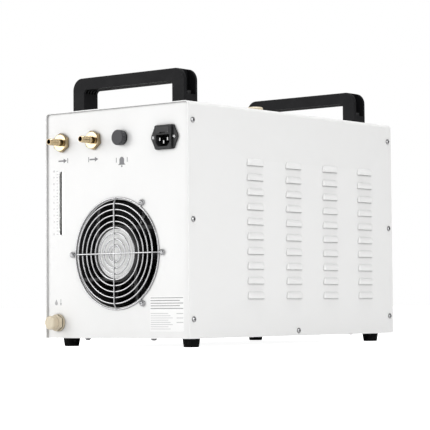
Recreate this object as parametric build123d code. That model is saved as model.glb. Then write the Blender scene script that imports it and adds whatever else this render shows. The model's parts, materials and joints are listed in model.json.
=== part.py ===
from build123d import *
import math
import os

# Industrial water chiller: a louvred sheet case on rubber feet that holds a tank,
# a pump, a finned radiator and a fan. Millimetres, +Z up. The connection panel
# faces -Y, and the origin is on the floor under the middle of the bounding box.

# Case
CASE_WIDTH = 270.0
CASE_DEPTH = 490.0
CASE_HEIGHT = 323.0
COVER_SHEET = 1.2
COVER_BEND = 5.5
PANEL_SHEET = 1.5
PANEL_INSET = 3.2
PANEL_FLANGE = 13.0
SHEET_GAP = 0.3
FLOOR_GAP = 12.0
TRAY_FLANGE = 17.0

# Louvres, pressed outward in both sides of the cover
LOUVRE_LENGTH = 38.0
LOUVRE_RISE = 3.4
LOUVRE_HEIGHT = 9.8
LOUVRE_COLUMNS = 4
LOUVRE_ROWS = 10
LOUVRE_PITCH_Y = 90.0
LOUVRE_PITCH_Z = 20.8
LOUVRE_BLOCK_FORWARD = 36.0
LOUVRE_FIRST_Z = 54.0

# Case screws
CASE_SCREW_R = 1.9
CASE_SCREW_HEAD_R = 3.8
CASE_SCREW_HEAD = 2.3
CASE_SCREW_LENGTH = 9.0
CASE_SCREW_EDGE = 9.5
CASE_SCREW_SPAN = 135.2
TRAY_SCREW_Z = 7.5
SCREW_CLEARANCE = 0.2

# Feet
FOOT_TOP_R = 12.5
FOOT_BOTTOM_R = 10.5
FOOT_SIDE = 22.5
FOOT_END = 30.5
FOOT_SCREW_R = 2.0
FOOT_SCREW_HEAD_R = 4.0
FOOT_RECESS = 5.0

# Handles
HANDLE_LENGTH = 211.8
HANDLE_DEPTH = 29.0
HANDLE_HEIGHT = 50.4
HANDLE_LEG = 22.0
HANDLE_GRIP = 17.0
HANDLE_CORNER = 17.0
HANDLE_INNER_CORNER = 5.0
HANDLE_EDGE = 27.0
HANDLE_POCKET = 14.0
HANDLE_FLANGE = 5.0
HANDLE_BASE = 14.0
GRIP_GROOVES = 4
GRIP_GROOVE_WIDTH = 3.4
GRIP_GROOVE_PITCH = 5.6
GRIP_GROOVE_DEPTH = 8.0
GRIP_GROOVE_INTO_LEG = 3.0
HANDLE_BOLT_R = 3.0
HANDLE_BOLT_HEAD_R = 5.0
HANDLE_BOLT_HEAD = 5.0
HANDLE_NUT = 5.0

# Hose fittings on the rear panel
FITTING_Z = 279.3
INLET_FROM_LEFT = 31.5
OUTLET_FROM_LEFT = 93.5
OUTLET_HEX_TURN = 8.0
FITTING_HEX = 24.0
FITTING_HEX_DEPTH = 6.4
HEX_CHAMFER = 1.5
HEX_FACE_EDGE = 0.5
FITTING_THREAD_R = 8.0
FITTING_NUT_HEX = 24.0
FITTING_NUT = 5.0
THREAD_PAST_NUT = 3.0
BARB_R = 5.0
BARB_ROOT_R = 4.1
BARB_COUNT = 4
BARB_PITCH = 4.95
BARB_LAND = 1.2
BARB_NECK = 2.5
FITTING_BORE_R = 3.4
SPIGOT_R = 5.0
SPIGOT_LENGTH = 14.0

# Alarm connector
ALARM_FROM_LEFT = 146.5
ALARM_Z = 279.4
ALARM_NECK_R = 7.5
ALARM_NECK = 5.5
ALARM_FLANGE_R = 10.0
ALARM_FLANGE = 3.2
ALARM_CAP_R = 10.8
ALARM_CAP_DEPTH = 7.5
ALARM_FLUTES = 14
ALARM_NUT = 2.5
ALARM_TAIL = 10.0
FLUTE_R = 0.8
FLUTE_OUT = 0.3

# Mains inlet with its fuse drawer
MAINS_FROM_RIGHT = 43.2
MAINS_Z = 275.3
MAINS_FLANGE_WIDTH = 47.0
MAINS_FLANGE_FLAT = 32.0
MAINS_FLANGE_HEIGHT = 33.6
MAINS_FLANGE_TIP = 3.2
MAINS_FLANGE_CORNER = 2.5
MAINS_FLANGE = 3.0
MAINS_BLOCK_WIDTH = 29.4
MAINS_BLOCK_HEIGHT = 32.0
MAINS_BLOCK_RISE = 3.5
MAINS_BODY_WIDTH = 28.4
MAINS_BODY_HEIGHT = 30.6
MAINS_BODY_DEPTH = 24.0
MAINS_SCREW_SPAN = 37.5
MAINS_SCREW_R = 1.5
MAINS_SCREW_HEAD_R = 2.6
MAINS_SCREW_HEAD = 1.8
SOCKET_WIDTH = 25.0
SOCKET_HEIGHT = 16.2
SOCKET_DEPTH = 16.5
SOCKET_CHAMFER = 4.6
SOCKET_BELOW = 4.9
PIN_PITCH = 14.0
PIN_WIDTH = 4.0
PIN_THICKNESS = 2.0
PIN_LENGTH = 14.0
EARTH_PIN_DROP = 4.0
DRAWER_WIDTH = 24.0
DRAWER_HEIGHT = 9.6
DRAWER_DEPTH = 21.0
DRAWER_ABOVE = 9.4
DRAWER_CLEARANCE = 0.25
DRAWER_PROUD = 0.6
DRAWER_NOTCH_WIDTH = 10.0
DRAWER_NOTCH_HEIGHT = 4.0
DRAWER_NOTCH_DEPTH = 2.0
FUSE_R = 2.5
FUSE_LENGTH = 20.0
FUSE_FROM_END = 6.0

# Level gauge
GAUGE_FROM_LEFT = 28.4
GAUGE_LOW_Z = 146.8
GAUGE_HIGH_Z = 238.4
GAUGE_SLOT = 9.8
GAUGE_TUBE_R = 4.5
GAUGE_WALL = 1.0
GAUGE_ELBOW_R = 6.5
GAUGE_ELBOW = 16.0
GAUGE_SOCKET = 6.0
SMALL_SPIGOT_R = 3.0

# Drain
DRAIN_FROM_LEFT = 23.2
DRAIN_Z = 21.9
DRAIN_FLANGE_R = 12.3
DRAIN_FLANGE = 3.0
DRAIN_SEAM = 1.0
DRAIN_SEAM_R = 9.3
DRAIN_HEX = 20.4
DRAIN_HEX_DEPTH = 6.0
DRAIN_THREAD_R = 8.5
DRAIN_NECK_R = 7.5
DRAIN_NECK = 7.5
DRAIN_NUT = 5.0
DRAIN_NUT_HEX = 23.4
DRAIN_CAP_R = 9.7
DRAIN_CAP_DEPTH = 9.7
DRAIN_BORE_R = 3.5

# Fan guard
FAN_X = 1.0
FAN_Z = 118.0
FAN_OPENING_R = 75.5
GUARD_WIRE_R = 1.0
GUARD_OUTER_R = 77.7
GUARD_INNER_R = 69.6
GUARD_PITCH = 8.25
GUARD_INNER_RINGS = 8
GUARD_RISE = 3.6
GUARD_WELD = 0.3
GUARD_BEND = 3.0
GUARD_SCREW_R = 84.4
GUARD_SCREW_ANGLE = 55.5

# Fan
FAN_FLANGE_R = 91.0
FAN_FLANGE_HALF_HEIGHT = 80.0
FAN_FLANGE = 4.0
FAN_DEPTH = 50.0
FAN_WALL = 3.5
HUB_R = 40.0
HUB_WALL = 2.0
HUB_PLATE = 2.5
HUB_FORWARD = 2.7
HUB_SKIRT = 9.0
STRUT_OFFSET = 35.5
STRUT_WIDTH = 5.0
STRUT_THICKNESS = 3.0
STRUT_RECEDE = 3.4
ROTOR_R = 37.5
ROTOR_WALL = 2.5
ROTOR_GAP = 2.0
ROTOR_DEPTH = 32.0
ROTOR_BOSS = 3.0
BLADE_COUNT = 7
BLADE_TIP_GAP = 2.3
BLADE_THICKNESS = 2.0
BLADE_ROOT_CHORD = 25.0
BLADE_TIP_CHORD = 42.0
BLADE_ROOT_PITCH = 52.0
BLADE_TIP_PITCH = 34.0
SHAFT_R = 4.0
SHAFT_CLEARANCE = 0.05
BEARING_R = 8.0
BEARING_WIDTH = 6.0
BEARING_TUBE_WALL = 2.5
BEARING_TUBE_DEPTH = 29.0
STATOR_GAP = 0.8
STATOR_SLOTS = 12

# Radiator and its shroud
CORE_WIDTH = 160.0
CORE_HEIGHT = 164.0
CORE_DEPTH = 40.0
CORE_SETBACK = 8.0
CORE_END_PLATE = 1.5
CORE_FOOT = 14.0
FIN_GROOVES = 22
FIN_GROOVE_WIDTH = 3.0
FIN_GROOVE_DEPTH = 2.5
TUBE_R = 4.8
TUBE_PASSES = 8
TUBE_PITCH = 20.0
TUBE_BEND = 9.8
TUBE_CLEARANCE = 0.1
TUBE_OVERHANG = 10.0
RADIATOR_STUB = 28.0

# Water tank
TANK_FROM_LEFT = 105.0
TANK_FROM_RIGHT = 20.0
TANK_BACK = 125.0
TANK_FRONT = 345.0
TANK_HEADROOM = 32.8
TANK_WALL = 3.0
TANK_CORNER = 12.0
TANK_LID = 3.0
TANK_LID_LIP = 5.0
PORT_WALL = 1.5
DRAIN_PORT_Y = 165.0
SUCTION_PORT_Y = 150.0
RETURN_PORT_Y = 150.0
RETURN_PORT_Z = 90.0
GAUGE_PORT_Y = 186.0

# Filler
FILLER_FROM_RIGHT = 80.5
FILLER_Y = 250.0
FILLER_NECK_R = 9.0
FILLER_WALL = 2.0
FILLER_FLANGE_R = 15.0
FILLER_FLANGE = 3.0
FILLER_COLLAR = 7.0
FILLER_CAP_R = 12.0
FILLER_CAP_HEIGHT = 12.0
FILLER_CAP_FLUTES = 14

# Pump
PUMP_FROM_LEFT = 45.0
PUMP_Y = 195.0
PUMP_Z = 48.0
VOLUTE_R = 34.0
VOLUTE_DEPTH = 24.0
VOLUTE_WALL = 4.0
PUMP_COVER = 4.0
PUMP_MOTOR_R = 30.0
PUMP_MOTOR_LENGTH = 72.0
PUMP_FOOT_WIDTH = 56.0
PUMP_FOOT_HEIGHT = 5.0
PUMP_FINS = 12
IMPELLER_R = 26.0
IMPELLER_GAP = 1.2
IMPELLER_VANES = 6
DISCHARGE_LENGTH = 14.0

# Flow switch
SWITCH_SIZE = 26.0
SWITCH_HEIGHT = 44.0
SWITCH_STUB = 12.0

# Hoses
HOSE_R = 7.2
HOSE_CLEARANCE = 0.05
HOSE_OVERLAP = 10.0
HOSE_BEND = 16.0
SMALL_HOSE_R = 4.6
SMALL_HOSE_BEND = 14.0
SHORT_HOSE_BEND = 11.2
SUPPLY_TURN_Y = 84.0
RETURN_STRAIGHT = 24.0
RADIATOR_STRAIGHT = 8.0
RADIATOR_TURN_LEFT = 12.0

# Front panel: display and power switch
DISPLAY_FROM_LEFT = 83.0
DISPLAY_Z = 262.0
DISPLAY_WIDTH = 80.0
DISPLAY_HEIGHT = 42.0
DISPLAY_FLANGE = 2.4
DISPLAY_DEPTH = 24.0
DISPLAY_BODY_WIDTH = 74.0
DISPLAY_BODY_HEIGHT = 36.0
DISPLAY_WALL = 1.8
WINDOW_WIDTH = 60.0
WINDOW_HEIGHT = 24.0
WINDOW_THICKNESS = 1.5
BOARD_THICKNESS = 1.6
ROCKER_FROM_RIGHT = 49.0
ROCKER_Z = 262.0
ROCKER_FRAME_WIDTH = 25.0
ROCKER_FRAME_HEIGHT = 32.0
ROCKER_FRAME_FLANGE = 1.8
ROCKER_BODY_WIDTH = 22.0
ROCKER_BODY_HEIGHT = 29.0
ROCKER_BODY_DEPTH = 22.0
ROCKER_WALL = 2.0
ROCKER_THROW = 9.0
ROCKER_REACH = 7.0
ROCKER_PIVOT_DEPTH = 5.6
ROCKER_PIN_R = 1.5
ROCKER_GAP = 0.4

# Power supply
SUPPLY_WIDTH = 100.0
SUPPLY_DEPTH = 98.0
SUPPLY_HEIGHT = 36.0
SUPPLY_FROM_LEFT = 155.0
SUPPLY_FRONT_GAP = 18.0

# Screws under the base
BASE_SCREW_R = 2.0
BASE_SCREW_HEAD_R = 4.2
BASE_SCREW_HEAD = 3.0
BASE_SCREW_LENGTH = 7.0
BASE_SCREW_SIDE = 62.0
BASE_SCREW_EDGE = 6.2

# Derived places
BARB_LENGTH = BARB_COUNT * BARB_PITCH + BARB_NECK
REAR_REACH = FITTING_HEX_DEPTH + BARB_LENGTH - PANEL_INSET
REAR_EDGE = -(CASE_DEPTH - REAR_REACH) / 2
FRONT_EDGE = REAR_EDGE + CASE_DEPTH
REAR_FACE = REAR_EDGE + PANEL_INSET
REAR_BACK = REAR_FACE + PANEL_SHEET
FRONT_FACE = FRONT_EDGE - PANEL_INSET
FRONT_BACK = FRONT_FACE - PANEL_SHEET
CASE_BOTTOM = FLOOR_GAP
CASE_TOP = CASE_BOTTOM + CASE_HEIGHT
COVER_UNDER = CASE_TOP - COVER_SHEET
CASE_MIDDLE_Z = CASE_BOTTOM + CASE_HEIGHT / 2
CASE_MIDDLE_Y = REAR_EDGE + CASE_DEPTH / 2
TRAY_BOTTOM = CASE_BOTTOM + PANEL_SHEET
TRAY_TOP = TRAY_BOTTOM + PANEL_SHEET
PANEL_MARGIN = COVER_SHEET + SHEET_GAP
SIDE_X = CASE_WIDTH / 2
INLET_X = -SIDE_X + INLET_FROM_LEFT
OUTLET_X = -SIDE_X + OUTLET_FROM_LEFT
ALARM_X = -SIDE_X + ALARM_FROM_LEFT
MAINS_X = SIDE_X - MAINS_FROM_RIGHT
GAUGE_X = -SIDE_X + GAUGE_FROM_LEFT
DRAIN_X = -SIDE_X + DRAIN_FROM_LEFT
TANK_LEFT = -SIDE_X + TANK_FROM_LEFT
TANK_RIGHT = SIDE_X - TANK_FROM_RIGHT
TANK_TOP = COVER_UNDER - TANK_HEADROOM
FILLER_X = SIDE_X - FILLER_FROM_RIGHT
PUMP_X = -SIDE_X + PUMP_FROM_LEFT
DISPLAY_X = -SIDE_X + DISPLAY_FROM_LEFT
ROCKER_X = SIDE_X - ROCKER_FROM_RIGHT
SUPPLY_X = -SIDE_X + SUPPLY_FROM_LEFT
FITTING_THREAD_END = REAR_BACK + FITTING_NUT + THREAD_PAST_NUT
DRAIN_THREAD_END = REAR_BACK + DRAIN_NUT + THREAD_PAST_NUT
DRAIN_HEX_BACK = REAR_FACE - DRAIN_FLANGE - DRAIN_SEAM
DRAIN_HEX_FRONT = DRAIN_HEX_BACK - DRAIN_HEX_DEPTH
FAN_CENTRE_Z = CASE_BOTTOM + FAN_Z
GUARD_OUTER_Y = REAR_FACE - GUARD_WIRE_R
GUARD_INNER_Y = GUARD_OUTER_Y - GUARD_RISE
FAN_END = REAR_BACK + FAN_DEPTH
HUB_FRONT = REAR_BACK - HUB_FORWARD
CORE_Y = FAN_END + CORE_SETBACK
PUMP_FACE = REAR_EDGE + PUMP_Y
PUMP_AXIS_Z = CASE_BOTTOM + PUMP_Z


def along_x(sketch, start, end):
    """Extrude a sketch drawn in Y and Z from one X to another."""
    plane = Plane((start, 0, 0), x_dir=(0, 1, 0), z_dir=(1, 0, 0))
    return extrude(plane * sketch, amount=end - start)


def along_y(sketch, start, end):
    """Extrude a sketch drawn in X and Z from one Y to another."""
    plane = Plane((0, end, 0), x_dir=(1, 0, 0), z_dir=(0, -1, 0))
    return extrude(plane * sketch, amount=end - start)


def along_z(sketch, start, end):
    """Extrude a sketch drawn in X and Y from one Z to another."""
    return extrude(Pos(0, 0, start) * sketch, amount=end - start)


def rod_x(radius, y, z, start, end):
    return along_x(Pos(y, z) * Circle(radius), start, end)


def rod_y(radius, x, z, start, end):
    return along_y(Pos(x, z) * Circle(radius), start, end)


def rod_z(radius, x, y, start, end):
    return along_z(Pos(x, y) * Circle(radius), start, end)


def hexagon(across_flats):
    """A hexagon with two corners on the vertical axis."""
    return RegularPolygon(across_flats / 2, 6, major_radius=False, rotation=30)


def hex_collar(across_flats, turn, x, z, front, back):
    """A hexagon collar along Y with the corners of its front face cut away."""
    profile = Rot(0, 0, turn) * hexagon(across_flats)
    collar = along_y(Pos(x, z) * profile, front, back)
    face_r = across_flats / 2 - HEX_FACE_EDGE
    corner_r = across_flats / 2 / math.cos(math.radians(30)) + HEX_FACE_EDGE
    cone = [(0, front), (face_r, front), (corner_r, front + HEX_CHAMFER), (corner_r, back), (0, back)]
    return collar & turned_y(cone, x, z)


def turned_y(points, x, z):
    """Turn a profile of (radius, Y) points about an axis along Y."""
    profile = make_face(Polyline(*points, close=True))
    return Pos(x, 0, z) * revolve(profile, Axis.Y)


def turned_z(points, x, y):
    """Turn a profile of (radius, Z) points about an axis along Z."""
    outline = [(radius, 0, height) for radius, height in points]
    profile = make_face(Polyline(*outline, close=True))
    return Pos(x, y, 0) * revolve(profile, Axis.Z)


def hose(points, outer, inner, bend):
    """A hose along straight runs joined by tangent arcs."""
    path = FilletPolyline(*points, radius=bend)
    section = Plane(origin=path @ 0, z_dir=path % 0) * (Circle(outer) - Circle(inner))
    return sweep(section, path=path)


def pan_screw(shank_r, head_r, head, length):
    """A cross-recessed pan head screw: head seat at Z = 0, shank downward."""
    crown = head_r * 0.55
    rim = (head_r, 0, head * 0.5)
    outline = Polyline((0, 0, 0), (head_r, 0, 0), rim, (crown, 0, head), (0, 0, head), close=True)
    body = revolve(make_face(outline), Axis.Z) + rod_z(shank_r, 0, 0, -length, 0)
    slot = head_r * 1.1
    recess = Rectangle(slot, slot * 0.2) + Rectangle(slot * 0.2, slot)
    return body - along_z(recess, head * 0.45, head + 1)


def case_outline(inset, top_radius):
    """The case seen from behind, drawn in from its outside by an inset at the top and sides."""
    height = CASE_HEIGHT - inset
    outline = Pos(0, CASE_BOTTOM + height / 2) * Rectangle(CASE_WIDTH - 2 * inset, height)
    return fillet(outline.vertices().group_by(Axis.Y)[-1], top_radius)


# Positions shared by screws and the holes that they pass

def case_screw_places():
    """Y and Z of the screws in one side of the cover."""
    places = []
    for y in (REAR_EDGE + CASE_SCREW_EDGE, FRONT_EDGE - CASE_SCREW_EDGE):
        for step in (-1, 0, 1):
            places.append((y, CASE_MIDDLE_Z + step * CASE_SCREW_SPAN))
    return places


def tray_screw_place():
    return (CASE_MIDDLE_Y, CASE_BOTTOM + TRAY_SCREW_Z)


def foot_places():
    side = SIDE_X - FOOT_SIDE
    return {
        "foot_rear_left": (-side, REAR_EDGE + FOOT_END),
        "foot_rear_right": (side, REAR_EDGE + FOOT_END),
        "foot_front_left": (-side, FRONT_EDGE - FOOT_END),
        "foot_front_right": (side, FRONT_EDGE - FOOT_END),
    }


def handle_middles():
    """Y of the middle of each handle."""
    rear = REAR_EDGE + HANDLE_EDGE + HANDLE_DEPTH / 2
    front = FRONT_EDGE - HANDLE_EDGE - HANDLE_DEPTH / 2
    return rear, front


def handle_bolt_places():
    side = (HANDLE_LENGTH - HANDLE_POCKET) / 2
    return [(x, y) for y in handle_middles() for x in (-side, side)]


def guard_screw_places():
    """X and Z of the four screws that hold the guard and the fan."""
    places = []
    for angle in (0, GUARD_SCREW_ANGLE, -GUARD_SCREW_ANGLE, 180):
        turn = math.radians(angle)
        x = FAN_X + GUARD_SCREW_R * math.cos(turn)
        places.append((x, FAN_CENTRE_Z + GUARD_SCREW_R * math.sin(turn)))
    return places


def mains_screw_places():
    return [(MAINS_X + side * MAINS_SCREW_SPAN / 2, CASE_BOTTOM + MAINS_Z) for side in (-1, 1)]


def base_screw_places():
    """X and Y of the screws that join the panels to the tray."""
    rear = REAR_BACK + BASE_SCREW_EDGE
    front = FRONT_BACK - BASE_SCREW_EDGE
    return [(x, y) for y in (rear, front) for x in (-BASE_SCREW_SIDE, BASE_SCREW_SIDE)]


# Case

def louvre_form(length):
    """The outside of one louvre on a wall that faces +X: open below, rounded above and at its ends."""
    straight = length - 2 * LOUVRE_RISE
    radius = (LOUVRE_RISE**2 + LOUVRE_HEIGHT**2) / (2 * LOUVRE_RISE)
    turn = math.atan2(LOUVRE_HEIGHT, radius - LOUVRE_RISE) / 2
    middle = (LOUVRE_RISE - radius + radius * math.cos(turn), radius * math.sin(turn))
    curve = ThreePointArc((LOUVRE_RISE, 0, 0), (middle[0], 0, middle[1]), (0, 0, LOUVRE_HEIGHT))
    edges = curve + Polyline((0, 0, LOUVRE_HEIGHT), (0, 0, 0), (LOUVRE_RISE, 0, 0))
    section = make_face(edges)
    end = revolve(section, Axis.Z, revolution_arc=90)
    form = extrude(Pos(0, straight / 2, 0) * section, amount=straight, dir=(0, -1, 0))
    form += Pos(0, straight / 2, 0) * end
    form += Pos(0, -straight / 2, 0) * Rot(0, 0, -90) * end
    return form


def louvre_places():
    """Y and Z of each louvre in one side."""
    places = []
    for column in range(LOUVRE_COLUMNS):
        y = CASE_MIDDLE_Y + LOUVRE_BLOCK_FORWARD + (column - (LOUVRE_COLUMNS - 1) / 2) * LOUVRE_PITCH_Y
        for row in range(LOUVRE_ROWS):
            places.append((y, CASE_BOTTOM + LOUVRE_FIRST_Z + row * LOUVRE_PITCH_Z))
    return places


def cover():
    profile = case_outline(0, COVER_BEND) - case_outline(COVER_SHEET, COVER_BEND - COVER_SHEET)
    sheet = along_y(profile, REAR_EDGE, FRONT_EDGE)
    outside = louvre_form(LOUVRE_LENGTH)
    hollow = Pos(-COVER_SHEET, 0, 0) * louvre_form(LOUVRE_LENGTH - 2 * COVER_SHEET)
    hoods = []
    hollows = []
    for y, z in louvre_places():
        for turn in (0, 180):
            place = Rot(0, 0, turn) * Pos(SIDE_X, y if turn == 0 else -y, z)
            hoods.append(place * outside)
            hollows.append(place * hollow)
    sheet = sheet + hoods
    sheet = sheet - hollows
    hole = CASE_SCREW_R + SCREW_CLEARANCE
    reach = SIDE_X + 1
    holes = [rod_x(hole, y, z, -reach, reach) for y, z in case_screw_places() + [tray_screw_place()]]
    holes += [
        rod_z(HANDLE_BOLT_R + SCREW_CLEARANCE, x, y, COVER_UNDER - 1, CASE_TOP + 1)
        for x, y in handle_bolt_places()
    ]
    filler_hole = FILLER_NECK_R + SCREW_CLEARANCE
    holes.append(rod_z(filler_hole, FILLER_X, REAR_EDGE + FILLER_Y, COVER_UNDER - 1, CASE_TOP + 1))
    return sheet - holes


def base_tray():
    """A folded tray: its plate lies on the bottom flanges of both panels, its sides turn up."""
    half = SIDE_X - PANEL_MARGIN
    side_start = REAR_FACE + PANEL_FLANGE + 1
    side_end = FRONT_FACE - PANEL_FLANGE - 1
    middle_y = (side_start + side_end) / 2
    plate = Pos(0, middle_y) * Rectangle(2 * half, side_end - side_start)
    tongue_half = half - PANEL_SHEET - SHEET_GAP
    tongue_length = FRONT_BACK - REAR_BACK - 2 * SHEET_GAP
    plate += Pos(0, (REAR_BACK + FRONT_BACK) / 2) * Rectangle(2 * tongue_half, tongue_length)
    tray = along_z(plate, TRAY_BOTTOM, TRAY_TOP)
    height = CASE_BOTTOM + TRAY_FLANGE - TRAY_BOTTOM
    for side in (-1, 1):
        flange = Rectangle(PANEL_SHEET, side_end - side_start)
        flange = Pos(side * (half - PANEL_SHEET / 2), middle_y) * flange
        tray += along_z(flange, TRAY_BOTTOM, TRAY_BOTTOM + height)
    y, z = tray_screw_place()
    tray -= rod_x(CASE_SCREW_R + SHAFT_CLEARANCE, y, z, -SIDE_X, SIDE_X)
    for x, y in base_screw_places():
        tray -= rod_z(BASE_SCREW_R + SHAFT_CLEARANCE, x, y, TRAY_BOTTOM - 1, TRAY_TOP + 1)
    for x, y in foot_places().values():
        tray -= rod_z(FOOT_SCREW_R + SHAFT_CLEARANCE, x, y, TRAY_BOTTOM - 1, TRAY_TOP + 1)
    return tray


def panel_pan(face, back):
    """A panel with flanges turned in on all four sides, its screw holes through them."""
    outline = case_outline(PANEL_MARGIN, COVER_BEND - PANEL_MARGIN)
    inner = offset(outline, amount=-PANEL_SHEET)
    inward = math.copysign(1, back - face)
    tip = face + inward * PANEL_FLANGE
    pan = along_y(outline, min(face, tip), max(face, tip))
    pan -= along_y(inner, min(back, tip + inward), max(back, tip + inward))
    for y, z in case_screw_places():
        if min(face, tip) < y < max(face, tip):
            pan -= rod_x(CASE_SCREW_R + SHAFT_CLEARANCE, y, z, -SIDE_X, SIDE_X)
    for x, y in base_screw_places():
        if min(face, tip) < y < max(face, tip):
            pan -= rod_z(BASE_SCREW_R + SCREW_CLEARANCE, x, y, CASE_BOTTOM - 1, TRAY_BOTTOM + 1)
    return pan


def mains_body_outline(clearance):
    """Outline of the mains inlet's body behind the panel, drawn in X and Z."""
    width = MAINS_BODY_WIDTH + 2 * clearance
    height = MAINS_BODY_HEIGHT + 2 * clearance
    return Pos(MAINS_X, CASE_BOTTOM + MAINS_Z) * Rectangle(width, height)


def rear_panel():
    panel = panel_pan(REAR_FACE, REAR_BACK)
    start = REAR_FACE - 1
    end = REAR_BACK + 1
    fitting_z = CASE_BOTTOM + FITTING_Z
    cuts = [
        rod_y(FAN_OPENING_R, FAN_X, FAN_CENTRE_Z, start, end),
        rod_y(FITTING_THREAD_R + SCREW_CLEARANCE, INLET_X, fitting_z, start, end),
        rod_y(FITTING_THREAD_R + SCREW_CLEARANCE, OUTLET_X, fitting_z, start, end),
        rod_y(ALARM_NECK_R + SCREW_CLEARANCE, ALARM_X, CASE_BOTTOM + ALARM_Z, start, end),
        rod_y(DRAIN_THREAD_R + SCREW_CLEARANCE, DRAIN_X, CASE_BOTTOM + DRAIN_Z, start, end),
        along_y(mains_body_outline(SCREW_CLEARANCE), start, end),
    ]
    slot = SlotOverall(GAUGE_HIGH_Z - GAUGE_LOW_Z, GAUGE_SLOT, rotation=90)
    slot_middle = CASE_BOTTOM + (GAUGE_HIGH_Z + GAUGE_LOW_Z) / 2
    cuts.append(along_y(Pos(GAUGE_X, slot_middle) * slot, start, end))
    for x, z in guard_screw_places():
        cuts.append(rod_y(CASE_SCREW_R + SCREW_CLEARANCE, x, z, start, end))
    for x, z in mains_screw_places():
        cuts.append(rod_y(MAINS_SCREW_R + SCREW_CLEARANCE, x, z, start, end))
    return panel - cuts


def front_panel():
    panel = panel_pan(FRONT_FACE, FRONT_BACK)
    start = FRONT_BACK - 1
    end = FRONT_FACE + 1
    around = 2 * SCREW_CLEARANCE
    display = Rectangle(DISPLAY_BODY_WIDTH + around, DISPLAY_BODY_HEIGHT + around)
    panel -= along_y(Pos(DISPLAY_X, CASE_BOTTOM + DISPLAY_Z) * display, start, end)
    switch = Rectangle(ROCKER_BODY_WIDTH + around, ROCKER_BODY_HEIGHT + around)
    return panel - along_y(Pos(ROCKER_X, CASE_BOTTOM + ROCKER_Z) * switch, start, end)


def cover_screws():
    screw = pan_screw(CASE_SCREW_R, CASE_SCREW_HEAD_R, CASE_SCREW_HEAD, CASE_SCREW_LENGTH)
    screws = []
    for y, z in case_screw_places() + [tray_screw_place()]:
        screws.append(Pos(SIDE_X, y, z) * Rot(0, 90, 0) * screw)
        screws.append(Pos(-SIDE_X, y, z) * Rot(0, -90, 0) * screw)
    return Compound(children=screws)


def base_screws():
    screw = pan_screw(BASE_SCREW_R, BASE_SCREW_HEAD_R, BASE_SCREW_HEAD, BASE_SCREW_LENGTH)
    places = base_screw_places()
    return Compound(children=[Pos(x, y, CASE_BOTTOM) * Rot(180, 0, 0) * screw for x, y in places])


def foot(x, y):
    """A tapered rubber foot with a recess below for its screw head."""
    hole = FOOT_SCREW_R + SCREW_CLEARANCE
    recess = FOOT_SCREW_HEAD_R + SCREW_CLEARANCE
    points = [
        (hole, FOOT_RECESS),
        (recess, FOOT_RECESS),
        (recess, 0),
        (FOOT_BOTTOM_R - 1, 0),
        (FOOT_BOTTOM_R, 1),
        (FOOT_TOP_R, TRAY_BOTTOM),
        (hole, TRAY_BOTTOM),
    ]
    return turned_z(points, x, y)


def foot_screws():
    length = TRAY_TOP - FOOT_RECESS + 2
    screw = pan_screw(FOOT_SCREW_R, FOOT_SCREW_HEAD_R, FOOT_RECESS - 2, length)
    places = foot_places().values()
    return Compound(children=[Pos(x, y, FOOT_RECESS) * Rot(180, 0, 0) * screw for x, y in places])


def handle(middle_y):
    """A moulded carrying handle: pockets in the outer faces of its legs, ribs under its grip."""
    half = HANDLE_LENGTH / 2
    outer = Pos(0, HANDLE_HEIGHT / 2) * Rectangle(HANDLE_LENGTH, HANDLE_HEIGHT)
    outer = fillet(outer.vertices().group_by(Axis.Y)[-1], HANDLE_CORNER)
    opening_height = HANDLE_HEIGHT - HANDLE_GRIP
    opening_width = HANDLE_LENGTH - 2 * HANDLE_LEG
    opening = Pos(0, opening_height / 2) * Rectangle(opening_width, opening_height)
    opening = fillet(opening.vertices().group_by(Axis.Y)[-1], HANDLE_INNER_CORNER)
    body = along_y(outer, -HANDLE_DEPTH / 2, HANDLE_DEPTH / 2)
    body = chamfer(body.edges().filter_by(Axis.X).group_by(Axis.Z)[-1], 1.0)
    body -= along_y(opening, -HANDLE_DEPTH, HANDLE_DEPTH)
    pocket_width = HANDLE_DEPTH - 2 * HANDLE_FLANGE
    for side in (-1, 1):
        pocket_x = side * (half - HANDLE_POCKET / 2)
        pocket = Pos(pocket_x + side, 0) * Rectangle(HANDLE_POCKET + 2, pocket_width)
        body -= along_z(pocket, HANDLE_BASE, HANDLE_HEIGHT + 1)
        body -= rod_z(HANDLE_BOLT_R + SCREW_CLEARANCE, pocket_x, 0, -1, HANDLE_BASE + 1)
    groove_length = opening_width + 2 * GRIP_GROOVE_INTO_LEG
    for index in range(GRIP_GROOVES):
        y = (index - (GRIP_GROOVES - 1) / 2) * GRIP_GROOVE_PITCH
        groove = Rectangle(groove_length, GRIP_GROOVE_DEPTH + HANDLE_INNER_CORNER)
        groove = Pos(0, opening_height + (GRIP_GROOVE_DEPTH - HANDLE_INNER_CORNER) / 2) * groove
        body -= along_y(groove, y - GRIP_GROOVE_WIDTH / 2, y + GRIP_GROOVE_WIDTH / 2)
    return Pos(0, middle_y, CASE_TOP) * body


def handle_bolts():
    bolts = []
    for x, y in handle_bolt_places():
        seat = CASE_TOP + HANDLE_BASE
        bolt = rod_z(HANDLE_BOLT_R, x, y, COVER_UNDER - HANDLE_NUT - 2, seat)
        bolt += rod_z(HANDLE_BOLT_HEAD_R, x, y, seat, seat + HANDLE_BOLT_HEAD)
        socket = Pos(x, y) * hexagon(HANDLE_BOLT_R * 1.6)
        bolt -= along_z(socket, seat + HANDLE_BOLT_HEAD / 2, seat + HANDLE_BOLT_HEAD + 1)
        bolts.append(bolt)
    return Compound(children=bolts)


def handle_nuts():
    nuts = []
    for x, y in handle_bolt_places():
        profile = Pos(x, y) * (hexagon(HANDLE_BOLT_R * 3.3) - Circle(HANDLE_BOLT_R + SHAFT_CLEARANCE))
        nuts.append(along_z(profile, COVER_UNDER - HANDLE_NUT, COVER_UNDER))
    return Compound(children=nuts)


# Rear panel fittings

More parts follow.
